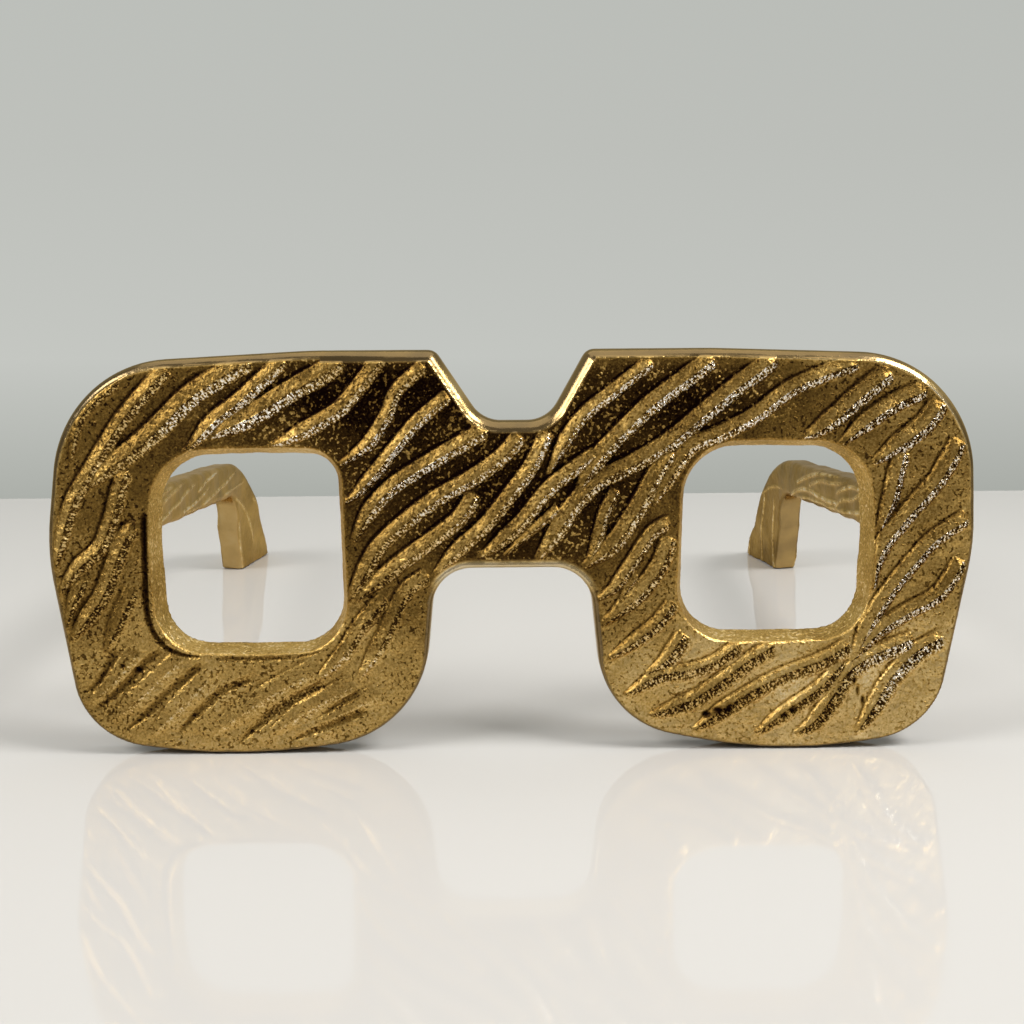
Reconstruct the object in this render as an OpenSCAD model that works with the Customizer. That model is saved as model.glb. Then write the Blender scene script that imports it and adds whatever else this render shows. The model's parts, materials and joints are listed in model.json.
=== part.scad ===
// Tabletop eyeglasses sculpture: a thick cast brass front with a wavy raised grain,
// and two cast brass temples that fold on barrel hinges behind the front.
// The front leans back a little and stands on its two rims and the two temple tips.
// Left and right are as seen from the front. X runs to the right, Y to the back, Z up.

/* [Front] */
// Width over the widest part of the front
front_w = 300; // [280:1:340]
// Height of the front, from the foot of the rims to the brow
front_h = 131.2; // [125:0.1:150]
// Thickness of the front without its grain
front_t = 10; // [8.5:0.1:14]
// Angle that the front leans back
lean = 5; // [2:0.5:8]
// Radius of the polished edge towards the face
rim_r = 3.4; // [1.5:0.1:4]
// Radius of the edge at the back
back_r = 1.2; // [0.5:0.1:2]
// Depth that is ground off the foot of the rims, so that they stand flat
ground = 0.45; // [0.3:0.05:0.8]
// How far the left brow drops towards its temple
left_brow_drop = 4.1; // [2:0.1:8]
// How far the right brow drops towards its temple
right_brow_drop = 2.7; // [2:0.1:8]
// How far the left side draws in at its upper outer corner
left_brow_in = 6.6; // [0:0.1:10]
// How far the right side draws in at its upper outer corner
right_brow_in = 1.5; // [0:0.1:10]
// Radius of the upper outer corners
brow_r = 39; // [24:1:42]
// Radius of the lower outer corners
cheek_r = 26; // [15:1:28]
// How far the left side draws in at its lower outer corner
left_cheek_in = 9.6; // [4:0.1:14]
// How far the right side draws in at its lower outer corner
right_cheek_in = 11.4; // [4:0.1:14]
// How much the foot rises towards the lower outer corners
cheek_rise = 5.4; // [2:0.1:8]
// Distance from the side of the front to the lowest place of its rim
foot_to_side = 60; // [55:1:64]
// Length of the long arc at the foot of a rim
foot_len = 28; // [22:1:36]
// Radius of the left rim's lower corner beside the nose
left_jaw_r = 36; // [24:1:42]
// Radius of the right rim's lower corner beside the nose
right_jaw_r = 30; // [24:1:42]
// How much the foot of the left rim rises towards the nose
left_jaw_rise = 6.4; // [1:0.1:12]
// How much the foot of the right rim rises towards the nose
right_jaw_rise = 9.4; // [1:0.1:12]

/* [Bridge] */
// Depth of the notch over the bridge, from the brow
notch_depth = 22.8; // [18:0.1:28]
// Height of the underside of the bridge
bridge_under = 60.6; // [55:0.1:66]
// Width of the notch over the bridge, at the brow
notch_w = 49; // [42:0.5:56]
// Width of the notch over the bridge, at its floor
notch_floor_w = 21; // [16:0.5:26]
// How far the floor of the notch lies to the right of the middle
notch_off = 1.2; // [-2:0.1:2]
// Radius at the floor of the notch
notch_r = 11; // [6:0.5:12]
// Radius of the brow corners at the notch
notch_lip_r = 4.2; // [3:0.1:6]
// Width of the nose gap under the bridge
gap_w = 50; // [46:0.5:56]
// Width of the nose gap at the foot of the rims
gap_foot_w = 60.5; // [58:0.5:66]
// Radius of the nose gap under the bridge
gap_r = 13; // [8:0.5:16]

/* [Lens openings] */
// Distance between the lens openings, at the back
hole_apart = 111.6; // [104:0.1:116]
// Width of a lens opening, at the back
hole_w = 59.2; // [50:0.1:64]
// Height of the brow over the left opening, at the back
left_brow_h = 33.6; // [26:0.1:38]
// Height of the brow over the right opening, at the back
right_brow_h = 32.3; // [26:0.1:38]
// Height of the foot of the left opening, at the back
left_hole_foot = 35.5; // [30:0.1:42]
// Height of the foot of the right opening, at the back
right_hole_foot = 38.3; // [30:0.1:42]
// Radius of the openings' lower corners beside the nose
hole_foot_r = 15; // [8:0.5:18]
// Radius of the left opening's upper corner beside the nose
left_hole_top_r = 9.5; // [6:0.5:18]
// Radius of the right opening's upper corner beside the nose
right_hole_top_r = 17; // [6:0.5:18]
// How much an opening widens from the back to the face
hole_draft = 2.2; // [1:0.1:3]
// Radius of the edge of an opening at the face
hole_lip_r = 1.4; // [0.6:0.1:2]

/* [Temples] */
// Thickness of a temple, across
temple_w = 12.5; // [10.5:0.1:14]
// Height of the bar of a temple
temple_h = 17.5; // [16:0.1:20]
// Depth of a temple's leg below the bend
leg_h = 30; // [26:0.5:34]
// Depth of the leg where it meets the table
tip_h = 36; // [32:0.5:42]
// Length of the left temple's straight bar, from the hinge to the bend
left_bar_len = 204; // [160:1:230]
// Length of the right temple's straight bar, from the hinge to the bend
right_bar_len = 194; // [160:1:230]
// Radius of the bend, along the middle of the temple
bend_r = 45; // [38:1:54]
// Angle through which the temple bends down
bend_angle = 56; // [50:1:62]
// Angle by which the leg turns its back edge inwards
toe_in = 13; // [0:1:18]
// Radius of the edges of a temple
temple_edge_r = 3; // [2:0.5:4.5]
// Height of the middle of the temple at the hinge, along the front
temple_z = 71.8; // [66:0.1:78]
// Distance from the side of the front to the outside of a temple
temple_inset = 0.5; // [0.3:0.1:3]
// How much closer to the middle a temple is at its bend than at its hinge
tips_in = 2; // [0:0.5:4]

/* [Hinges] */
// Radius of the hinge barrels
barrel_r = 4.5; // [4.2:0.1:5]
// Radius of the hinge screw
pin_r = 2; // [1.5:0.1:2.4]
// Radial clearance of the hinge screw in its barrels
pin_clear = 0.05; // [0.03:0.01:0.09]
// Height of the barrel in the middle, which turns with the temple
mid_barrel_h = 8; // [6:0.1:9]
// Height of each of the two outer barrels
end_barrel_h = 5.4; // [4:0.1:7]
// Gap between two barrels
barrel_gap = 0.2; // [0.1:0.05:0.4]
// Thickness of the hinge leaf on the front
leaf_t = 2.5; // [2:0.1:4]
// Width of the hinge leaf on the front
leaf_w = 23; // [20:0.5:24]
// Height of the hinge leaf on the front
leaf_h = 35; // [33:0.5:40]
// How far the leaf reaches outwards past the middle of the hinge
leaf_out = 5.5; // [4.5:0.5:6.5]
// Distance from the leaf's sides to its screws
leaf_screw_in = 5; // [4:0.5:6]
// Distance from the leaf's top and foot to its screws
leaf_screw_up = 4; // [3.5:0.5:6]
// Thickness of the hinge leaf in the temple
tang_t = 3; // [2.5:0.1:3.4]
// Height of the hinge leaf in the temple
tang_h = 12; // [10:0.5:13]
// Length of the hinge leaf in the temple, from the middle of the hinge
tang_len = 36; // [32:0.5:44]
// Distance from the end of that leaf to its last screw
tang_screw_in = 8; // [5:0.5:9]
// Distance between its two screws
tang_screw_gap = 13; // [10:0.5:15]
// Gap that lets one piece move past another
run_gap = 0.3; // [0.2:0.05:0.5]

/* [Screws] */
// Radius of the small screws
screw_r = 1.5; // [1.2:0.1:1.6]
// Radius of the small screws' heads
screw_head_r = 2.9; // [2.5:0.1:3.2]
// Length of the small screws
screw_len = 8; // [6.5:0.1:8.5]
// Radius of the hinge screw's head
pin_head_r = 3.6; // [3:0.1:4]
// Height of the hinge screw's head
pin_head_h = 2.2; // [1.5:0.1:3]
// Width of the hinge nut across its flats
nut_af = 7; // [6.5:0.1:8]
// Height of the hinge nut
nut_h = 3; // [2:0.1:4]
// Width of the slots for a screwdriver
slot_w = 0.8; // [0.5:0.1:1]
// Depth of the slots for a screwdriver
slot_depth = 0.6; // [0.4:0.1:0.9]
// How far the hinge screw reaches past its nut
pin_past = 0.5; // [0:0.1:1]
// Clearance of a seated screw
seat_clear = 0.02; // [0.01:0.01:0.05]

/* [Grain] */
// Height of the raised grain over the face
grain_h = 1.5; // [0.5:0.1:2]
// Width of a full ridge of the grain
grain_w = 5; // [3:0.1:6]
// Distance from the outline to the end of the grain
grain_rim = 1.4; // [1.2:0.1:3]

/* [Hidden] */
cast_brass = [0.72, 0.56, 0.27];
turned_brass = [0.80, 0.66, 0.36];
LEFT = -1;
RIGHT = 1;
arc_step = 9;
nudge = 0.01;

// How deep the foot of a ridge is sunk into the face
ridge_root = 0.8;

// The ridges of the grain over the face: a share of the full width, a share of the full height,
// and points [x, z] along the middle, in percent of the front's width and height
ridges = [
    [1, 1, [-36.3, 95.7], [-40.7, 85.4], [-43.8, 75.3], [-46.1, 67.3], [-47.7, 59.5], [-48.8, 48.8]],
    [1.3, 1, [-27.7, 97.6], [-32, 92.2], [-35.8, 85.4], [-39.1, 78.5], [-42.7, 72.4], [-45, 67.5]],
    [1, 1, [-41.2, 71.6], [-42.3, 63.3], [-43.6, 55.6], [-46, 48.8], [-47.8, 44.6], [-48.8, 40.4]],
    [0.9, 1, [-40.3, 56.4], [-42.1, 52.1], [-43.2, 45.7], [-44.5, 39.6], [-46.5, 33.1], [-48.1, 28.5]],
    [0.6, 1, [-41.7, 92.8], [-44.6, 87.3], [-46.3, 80.8], [-47.1, 72.8]],
    [1, 1, [-24, 97.6], [-27.9, 89.7], [-31.7, 83.1], [-34.8, 75.5]],
    [1.3, 1, [-18, 97.6], [-22.2, 91.5], [-27.2, 84.8], [-32.3, 78.9]],
    [1, 1, [-13.8, 97.9], [-16.7, 89.2], [-21, 81.9], [-25.7, 77]],
    [1, 1, [-9.2, 96], [-12.2, 89.9], [-13.7, 82.3], [-16, 75.8], [-18.5, 72]],
    [1, 1, [-6.7, 88.8], [-9.8, 83.1], [-12.2, 77], [-14.9, 69.4], [-18.2, 62.7]],
    [1.2, 1, [-2.7, 80.4], [-7.8, 73.9], [-13, 66.3], [-15.8, 58.3], [-17.2, 53]],
    [1.2, 1, [1, 78.9], [-2.8, 70.9], [-8.2, 63.5], [-13, 54.9], [-15.6, 47.3], [-16.8, 40.4]],
    [1.2, 1, [-4, 64.8], [-5.5, 59.1], [-9.8, 51.4], [-13.3, 45.2], [-17, 38.5]],
    [1, 1, [3.8, 79.7], [2.3, 72.1], [-1.3, 60.4], [-5, 52.3], [-8.5, 44.2]],
    [1.1, 1, [9.7, 74.7], [6.1, 69.7], [2.8, 62.7], [-0.5, 54.3], [-3.7, 49]],
    [0.7, 1, [5, 61.1], [1.8, 55], [-1, 49.2]],
    [1, 1, [15, 96.8], [11.1, 89.9], [6.6, 80.9], [4.7, 72.8], [3.7, 67.1]],
    [1.3, 1, [21.5, 97.4], [17.1, 90.1], [12.5, 80.9], [9.3, 73.6], [7, 64]],
    [1.3, 1, [28.3, 97.3], [22.5, 87.6], [17.1, 77.4], [11.8, 70.5], [7.3, 63.6], [4.8, 55.3], [2.8, 48.8]],
    [1, 1, [37, 96.1], [30.9, 90.9], [26.1, 83.5], [20.7, 77.4], [17.9, 72.3], [15, 61]],
    [1, 1, [11.3, 65.9], [9.8, 57.9], [8.9, 51], [7.5, 46.5]],
    [1.3, 1, [17.2, 74.9], [14.8, 65.9], [11.8, 54.6], [8.7, 47.8], [7.3, 45.7]],
    [1, 1, [17.2, 57.4], [15.1, 54.6], [12.9, 47.2], [10.1, 39.3], [9, 37.7]],
    [1.1, 1, [17.2, 54.1], [16.1, 47.3], [14.3, 41], [10.9, 33.9], [9.7, 31.6]],
    [0.6, 1, [13.5, 44.3], [11.3, 37.3]],
    [1.1, 1, [40.5, 93.9], [37.2, 87.8], [33.6, 80.5], [30.7, 77.9]],
    [1.1, 1, [44.4, 89.5], [40.8, 85.8], [37.2, 80], [35.3, 75.8]],
    [1.2, 1, [46, 86.5], [43.3, 79], [40.9, 74.9], [38.5, 70.9]],
    [1, 1, [42.3, 75.1], [41.3, 68.1], [40.5, 59.8], [39.5, 54.1]],
    [1.1, 1, [48.3, 77.4], [46.1, 68.1], [43, 59.8], [40.5, 51.8], [39.3, 44.2], [39, 39.6]],
    [1, 1, [49.3, 57.9], [46, 53.1], [42.2, 43.8], [39.8, 35.2], [38, 27.4], [36.8, 21.7]],
    [1, 1, [48.8, 47.6], [46.8, 40], [43.5, 35.1], [39.6, 29.3], [37.1, 23.4]],
    [1.2, 1, [47, 27.4], [43.2, 21.9], [40.3, 13], [37.5, 3]],
    [1.2, 1, [44, 27], [39.3, 22.8], [36.4, 18.1], [33.8, 7.7], [30.8, 3.2]],
    [1, 1, [36.3, 21.3], [33.6, 14.9], [30, 9.1], [26.3, 3.3]],
    [1, 1, [36.8, 25.9], [33.8, 21.9], [27.6, 16], [23.3, 9.8], [19.7, 4.5]],
    [1.1, 1, [28.7, 25.7], [24.1, 18.8], [19.4, 11.9], [14.6, 8.4]],
    [1, 1, [24.9, 26.4], [22.1, 21.8], [17.4, 19], [14.6, 17.2], [12.1, 13.4]],
    [1.2, 1, [19, 29.3], [17.5, 24.1], [14.8, 18.9]],
    [0.9, 1, [17.6, 37.7], [15.8, 32], [12.8, 26.7], [10.1, 22.8]],
    [0.9, 1, [-9, 44.6], [-11.1, 41.5], [-13.1, 34.1], [-14.6, 25.8], [-16.8, 18.3]],
    [1, 1, [-13.7, 39.3], [-16.4, 32.2], [-18.5, 24.8], [-21.5, 18.3]],
    [0.9, 1, [-46.1, 44.4], [-47.3, 39.1], [-48.3, 32]],
    [1, 1, [-40.8, 41.7], [-42.6, 34], [-44.3, 25.5]],
    [1.4, 0.5, [-40.7, 26.7], [-43.5, 19.1], [-46, 13.6]],
    [1.4, 0.5, [-36, 22.9], [-39.3, 17.5], [-44, 8.4]],
    [1.4, 0.5, [-33.3, 19.1], [-37, 10.7], [-39.7, 4.6]],
    [1.5, 0.5, [-21.3, 21.3], [-26.7, 14.9], [-32.7, 5]],
    [1.4, 0.5, [-17.3, 17.5], [-22.7, 10.7], [-26.7, 5]],
    [1.4, 0.4, [-14.3, 15.2], [-21.7, 6.9]]
];

// Places in the front's own frame: y runs back from its face, z up along it
hinge_x = front_w / 2 - temple_inset - temple_w + barrel_r;
hinge_y = front_t + leaf_t + run_gap + barrel_r;
temple_mid_x = front_w / 2 - temple_inset - temple_w / 2;
temple_start_y = front_t + leaf_t + run_gap;
function bend_y(side) = hinge_y + (side == LEFT ? left_bar_len : right_bar_len);

// From here back a temple runs inwards; its leaf and screws lie before it
clasp_y = hinge_y + tang_len + 4;
hinge_half = mid_barrel_h / 2 + barrel_gap + end_barrel_h;
notch_clear_r = norm([barrel_r, barrel_r + run_gap]) + run_gap;
leaf_x = hinge_x + leaf_out - leaf_w / 2;
leaf_screw_dx = leaf_w / 2 - leaf_screw_in;
leaf_screw_dz = leaf_h / 2 - leaf_screw_up;
bridge_top = front_h - notch_depth;

// Where the front stands on the table: the back of the rims' foot
stand_y = front_t - back_r;

// Where a temple's bend ends, and where the back of its leg meets the table
function bend_end_y(side) = bend_y(side) + bend_r * sin(bend_angle);
bend_end_z = temple_z - bend_r * (1 - cos(bend_angle));
function leg_y(side) = (bend_end_y(side) + (bend_end_z + stand_y * tan(lean)) / tan(bend_angle))
    / (1 + tan(lean) / tan(bend_angle));
tip_reach = (tip_h / 2 - temple_edge_r) * cos(toe_in) + (temple_w / 2 - temple_edge_r) * sin(toe_in)
    + temple_edge_r;
leg_back_y = max(leg_y(LEFT), leg_y(RIGHT)) + tip_reach / sin(bend_angle + lean);

// The middle of the whole object from front to back is at Y = 0
front_place_y = stand_y - leg_back_y / 2;

function unit(v) = v / norm(v);
function turned(v, a) = [v.x * cos(a) - v.y * sin(a), v.x * sin(a) + v.y * cos(a)];

// A corner of an outline, rounded: points on the arc, each with its outward normal.
// The outline runs anticlockwise, so a left turn is a convex corner.
function rounded(a, b, c, r) =
    let (
        u = unit(a - b),
        v = unit(c - b),
        half = acos(u * v) / 2,
        middle = b + unit(u + v) * r / sin(half),
        side = cross(b - a, c - b) > 0 ? 1 : -1,
        sweep = (180 - 2 * half) * side,
        steps = max(2, ceil(abs(sweep) / arc_step)),
        first = [-u.y, u.x]
    )
    [for (i = [0:steps])
        let (w = turned(first, sweep * i / steps))
        [middle + w * r * side, w]];

// Corners are [x, z, radius]. Corner i of a closed outline, counted round and round
function corner(c, i) = c[(i + len(c)) % len(c)];
function place(q) = [q.x, q.y];
function side_len(c, i) = norm(place(corner(c, i + 1)) - place(corner(c, i)));

// How much of its two sides the arc at a corner takes up
function arc_reach(c, i) =
    let (
        u = unit(place(corner(c, i)) - place(corner(c, i - 1))),
        v = unit(place(corner(c, i + 1)) - place(corner(c, i)))
    )
    corner(c, i).z * tan(acos(u * v) / 2);

// Two arcs never take up more than the side between them
function share_of_side(c, i) = min(1, side_len(c, i) / (arc_reach(c, i) + arc_reach(c, i + 1)));
function outline(c) =
    [for (i = [0:len(c) - 1])
        each rounded(
            place(corner(c, i - 1)),
            place(corner(c, i)),
            place(corner(c, i + 1)),
            corner(c, i).z * min(share_of_side(c, i - 1), share_of_side(c, i)))];

function mirrored(c) = [for (i = [len(c) - 1:-1:0]) [-c[i].x, c[i].y, c[i].z]];

// The foot of a rim is one long arc, between the line that comes from the nose gap
// and the line that rises to the lower outer corner
side_x = front_w / 2;
foot_in = side_x - foot_to_side - foot_len / 2;
foot_out = side_x - foot_to_side + foot_len / 2;
function foot_r(jaw_rise, cheek_in) =
    let (
        turn_in = atan(jaw_rise / (foot_in - gap_foot_w / 2)),
        turn_out = atan(cheek_rise / (side_x - cheek_in - foot_out))
    )
    0.99 * foot_len / (tan(turn_in / 2) + tan(turn_out / 2));

// One half of the front, from the middle of the nose gap round to the notch
function front_half(jaw_rise, jaw_r, cheek_in, brow_in, brow_drop, notch_half) = [
    [gap_w / 2, bridge_under, gap_r],
    [gap_foot_w / 2, jaw_rise, jaw_r],
    [foot_in, 0, foot_r(jaw_rise, cheek_in)],
    [foot_out, 0, foot_r(jaw_rise, cheek_in)],
    [side_x - cheek_in, cheek_rise, cheek_r],
    [side_x + 0.6, front_h * 0.52, 75],
    [side_x - brow_in, front_h - brow_drop, brow_r],
    [side_x * 0.43, front_h, 150],
    [notch_w / 2, front_h, max(notch_lip_r, rim_r + 0.6)],
    [notch_half, bridge_top, notch_r]
];
right_half = front_half(
    right_jaw_rise, right_jaw_r, right_cheek_in, right_brow_in, right_brow_drop, notch_floor_w / 2 + notch_off);
left_half = front_half(
    left_jaw_rise, left_jaw_r, left_cheek_in, left_brow_in, left_brow_drop, notch_floor_w / 2 - notch_off);
front_outline = outline(concat(right_half, mirrored(left_half)));

// A lens opening at the back of the front: its nose side is at x = 0
function hole_corners(foot, top, top_r) = [
    [-0.2, foot, hole_foot_r],
    [hole_w * 0.5, foot - 0.4, 90],
    [hole_w - 1.6, foot + 0.4, 14],
    [hole_w + 0.3, (foot + top) / 2 + 4, 120],
    [hole_w - 1.6, top - 0.4, 16],
    [hole_w * 0.45, top + 0.4, 90],
    [1.4, top, top_r]
];
left_hole = hole_corners(left_hole_foot, front_h - left_brow_h, left_hole_top_r);
right_hole = hole_corners(right_hole_foot, front_h - right_brow_h, right_hole_top_r);

// Faces of a closed tube of m rings with n points each
function tube_faces(n, m) = concat(
    [[for (i = [n - 1:-1:0]) i]],
    [for (j = [0:m - 2]) for (i = [0:n - 1])
        let (k = (i + 1) % n)
        each [
            [j * n + i, j * n + k, (j + 1) * n + k],
            [j * n + i, (j + 1) * n + k, (j + 1) * n + i]
        ]],
    [[for (i = [0:n - 1]) (m - 1) * n + i]]);

// A solid through rings that all have as many points; steps holds [growth, y] pairs
module lofted(shape, steps) {
    n = len(shape);
    m = len(steps);
    points = [for (s = steps) for (q = shape) [q[0].x + q[1].x * s[0], s[1], q[0].y + q[1].y * s[0]]];
    polyhedron(points, tube_faces(n, m));
}

// A cutter that runs all round an outline; its section holds [growth, y] pairs
module edge_cutter(shape, section) {
    n = len(section);
    m = len(shape);
    points = [for (q = shape) for (s = section) [q[0].x + q[1].x * s[0], s[1], q[0].y + q[1].y * s[0]]];
    faces = [for (j = [0:m - 1]) for (i = [0:n - 1])
        let (k = (i + 1) % n, next = (j + 1) % m)
        each [
            [j * n + i, j * n + k, next * n + k],
            [j * n + i, next * n + k, next * n + i]
        ]];
    polyhedron(points, faces);
}

// Sections of what is taken off the face's edge and off the back's edge
function face_edge() = concat(
    [[1, -1], [-rim_r - 1.5, -1], [-rim_r - 1.5, -0.3]],
    [for (a = [90:-22.5:0]) [rim_r * (cos(a) - 1), rim_r * (1 - sin(a))]],
    [[0.2, rim_r + 1]]);
function back_edge() = concat(
    [[0.3, front_t - back_r - 0.6]],
    [for (a = [0:30:90]) [back_r * (cos(a) - 1), front_t - back_r * (1 - sin(a))]],
    [[-back_r - 0.6, front_t + 0.3], [-back_r - 0.6, front_t + 1], [1, front_t + 1]]);

// A smooth line through the points of a ridge, with part of each span at i = 0, 0.5
function on_span(a, b, c, d, f) =
    0.5 * (2 * b + (c - a) * f + (2 * a - 5 * b + 4 * c - d) * f * f + (3 * b - a - 3 * c + d) * f * f * f);
function ridge_line(p) =
    let (n = len(p))
    [for (i = [0:n - 2]) for (f = i == n - 2 ? [0, 0.5, 1] : [0, 0.5])
        on_span(p[max(i - 1, 0)], p[i], p[i + 1], p[min(i + 2, n - 1)], f)];

// One ridge of the grain: steep on its upper left side, and running out at both ends
module ridge(width, height, p) {
    line = ridge_line(p);
    m = len(line);
    points = [for (i = [0:m - 1])
        let (
            way = unit(line[min(i + 1, m - 1)] - line[max(i - 1, 0)]),
            across = [-way.y, way.x] * (way.x + way.y > 0 ? -1 : 1),
            end = i == 0 || i == m - 1,
            w = width * (end ? 0.45 : 1),
            h = end ? -0.3 : height
        )
        for (q = [[-0.5, ridge_root], [-0.27, -h], [0.05, -h], [0.5, ridge_root]])
            let (v = line[i] + across * q[0] * w)
            [v.x, q[1], v.y]];
    polyhedron(points, tube_faces(4, m));
}

// The opening's section: drafted, with a rounded lip at the face
function hole_steps() = concat(
    [[hole_draft + hole_lip_r, -grain_h - 1]],
    [for (a = [90:-30:0]) [hole_draft + hole_lip_r * (1 - cos(a)), hole_lip_r * (1 - sin(a))]],
    [[0, front_t], [0, front_t + 1]]);

module front_blank() {
    difference() {
        translate([0, front_t, 0])
            rotate([90, 0, 0])
                linear_extrude(front_t) polygon([for (q = front_outline) q[0]]);
        edge_cutter(front_outline, face_edge());
        edge_cutter(front_outline, back_edge());
    }
}

// All that lies over the face and inside the smooth rim
module grain_field() {
    translate([0, ridge_root, 0])
        rotate([90, 0, 0])
            linear_extrude(ridge_root + grain_h + 1)
                polygon([for (q = front_outline) q[0] - q[1] * grain_rim]);
}

module grain() {
    for (r = ridges)
        ridge(
            r[0] * grain_w,
            r[1] * grain_h,
            [for (i = [2:len(r) - 1]) [r[i].x * front_w, r[i].y * front_h] / 100]);
}

module lens_opening(side) {
    corners = side == LEFT ? left_hole : right_hole;
    hole = outline([for (c = corners) [hole_apart / 2 + c.x, c.y, c.z]]);
    mirror([side == LEFT ? 1 : 0, 0, 0]) lofted(hole, hole_steps());
}

// Puts what is drawn in the front's own frame on the table, leaning back
module on_table() {
    translate([0, front_place_y, -ground])
        rotate([-lean, 0, 0])
            translate([0, -stand_y, 0])
                children();
}

module table_cut() {
    translate([-front_w, -front_w * 1.5, -50]) cube([2 * front_w, 3 * front_w, 50]);
}

// Runs along X for the right side and is mirrored for the left
module on_side(side) {
    mirror([side == LEFT ? 1 : 0, 0, 0]) children();
}

// A countersunk screw whose head is at the origin and whose shank runs to -Z
module screw_shape(grow) {
    translate([0, 0, -screw_len]) cylinder(r = screw_r + grow, h = screw_len, $fn = 32);
    translate([0, 0, screw_r - screw_head_r])
        cylinder(r1 = screw_r + grow, r2 = screw_head_r + grow, h = screw_head_r - screw_r, $fn = 32);
}

module screw() {
    difference() {
        screw_shape(0);
        translate([-screw_head_r, -slot_w / 2, -slot_depth]) cube([2 * screw_head_r, slot_w, 2 * slot_depth]);
    }
}

// Places at the front leaf's four screws, heads at the back
module at_leaf_screws() {
    for (dx = [-1, 1]) for (dz = [-1, 1])
        translate([leaf_x + dx * leaf_screw_dx, front_t + leaf_t, temple_z + dz * leaf_screw_dz])
            rotate([-90, 0, 0])
                children();
}

// Places at the two screws that hold the temple's leaf, heads inwards
module at_tang_screws() {
    for (i = [0, 1])
        translate([hinge_x - barrel_r, hinge_y + tang_len - tang_screw_in - i * tang_screw_gap, temple_z])
            rotate([0, -90, 0])
                children();
}

module barrel(h) {
    translate([hinge_x, hinge_y, temple_z - h / 2]) cylinder(r = barrel_r, h = h, $fn = 64);
}

module pin_bore() {
    translate([hinge_x, hinge_y, temple_z - hinge_half - 1])
        cylinder(r = pin_r + pin_clear, h = 2 * hinge_half + 2, $fn = 48);
}

module frame_front() {
    color(cast_brass)
        difference() {
            on_table() {
                difference() {
                    union() {
                        front_blank();
                        intersection() {
                            grain();
                            grain_field();
                        }
                    }
                    lens_opening(LEFT);
                    lens_opening(RIGHT);
                    for (side = [LEFT, RIGHT]) on_side(side) at_leaf_screws() screw_shape(seat_clear);
                }
            }
            table_cut();
        }
}

module front_leaf(side) {
    color(turned_brass)
        on_table() on_side(side)
            difference() {
                union() {
                    translate([leaf_x - leaf_w / 2, front_t, temple_z - leaf_h / 2])
                        cube([leaf_w, leaf_t, leaf_h]);
                    for (dz = [-1, 1])
                        translate([0, 0, dz * (hinge_half - end_barrel_h / 2)]) {
                            barrel(end_barrel_h);
                            translate([hinge_x - barrel_r, front_t + nudge, temple_z - end_barrel_h / 2])
                                cube([2 * barrel_r, hinge_y - front_t - nudge, end_barrel_h]);
                        }
                }
                pin_bore();
                at_leaf_screws() screw_shape(seat_clear);
            }
}

module front_leaf_screws(side) {
    color(turned_brass) on_table() on_side(side) at_leaf_screws() screw();
}

module hinge_screw(side) {
    color(turned_brass)
        on_table() on_side(side)
            translate([hinge_x, hinge_y, temple_z])
                difference() {
                    union() {
                        translate([0, 0, -hinge_half - nut_h - pin_past])
                            cylinder(r = pin_r, h = 2 * hinge_half + nut_h + pin_past, $fn = 48);
                        translate([0, 0, hinge_half])
                            cylinder(r = pin_head_r, h = pin_head_h, $fn = 48);
                    }
                    translate([-pin_head_r, -slot_w / 2, hinge_half + pin_head_h - slot_depth])
                        cube([2 * pin_head_r, slot_w, 2 * slot_depth]);
                }
}

module hinge_nut(side) {
    color(turned_brass)
        on_table() on_side(side)
            translate([hinge_x, hinge_y, temple_z - hinge_half - nut_h])
                difference() {
                    cylinder(r = nut_af / 2 / cos(30), h = nut_h, $fn = 6);
                    translate([0, 0, -1]) cylinder(r = pin_r + seat_clear, h = nut_h + 2, $fn = 48);
                }
}

// The middle line of a temple in the front's own frame, as [y, z, slope, height, twist] stations
function leg_len(side) = (leg_y(side) - bend_end_y(side)) / cos(bend_angle);
bend_steps = 10;
function temple_line(side) = concat(
    [for (y = [temple_start_y, clasp_y]) [y, temple_z, 0, temple_h, 0]],
    [for (i = [0:bend_steps])
        let (a = bend_angle * i / bend_steps, part = i / bend_steps)
        [
            bend_y(side) + bend_r * sin(a),
            temple_z - bend_r * (1 - cos(a)),
            a,
            temple_h + (leg_h - temple_h) * part * part,
            toe_in * part
        ]],
    [for (t = [0.5, 1, 1.8])
        [
            bend_end_y(side) + t * leg_len(side) * cos(bend_angle),
            bend_end_z - t * leg_len(side) * sin(bend_angle),
            bend_angle,
            leg_h + (tip_h - leg_h) * t,
            toe_in
        ]]);

// A rounded section across the temple, as [across, up] points
function temple_section(w, h, r) =
    [for (q = outline([[w / 2, -h / 2, r], [w / 2, h / 2, r], [-w / 2, h / 2, r], [-w / 2, -h / 2, r]])) q[0]];

module temple_blank(side) {
    line = temple_line(side);
    m = len(line);
    n = len(temple_section(temple_w, temple_h, temple_edge_r));
    points = [for (s = line)
        for (q = temple_section(temple_w, s[3], temple_edge_r))
            let (
                across = q.x * cos(s[4]) - q.y * sin(s[4]),
                up = q.x * sin(s[4]) + q.y * cos(s[4])
            )
            [
                temple_mid_x + across - tips_in * max(0, s.x - clasp_y) / (bend_y(side) - clasp_y),
                s.x + up * sin(s.z),
                s.y + up * cos(s.z)
            ]];
    polyhedron(points, tube_faces(n, m));
}

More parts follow.
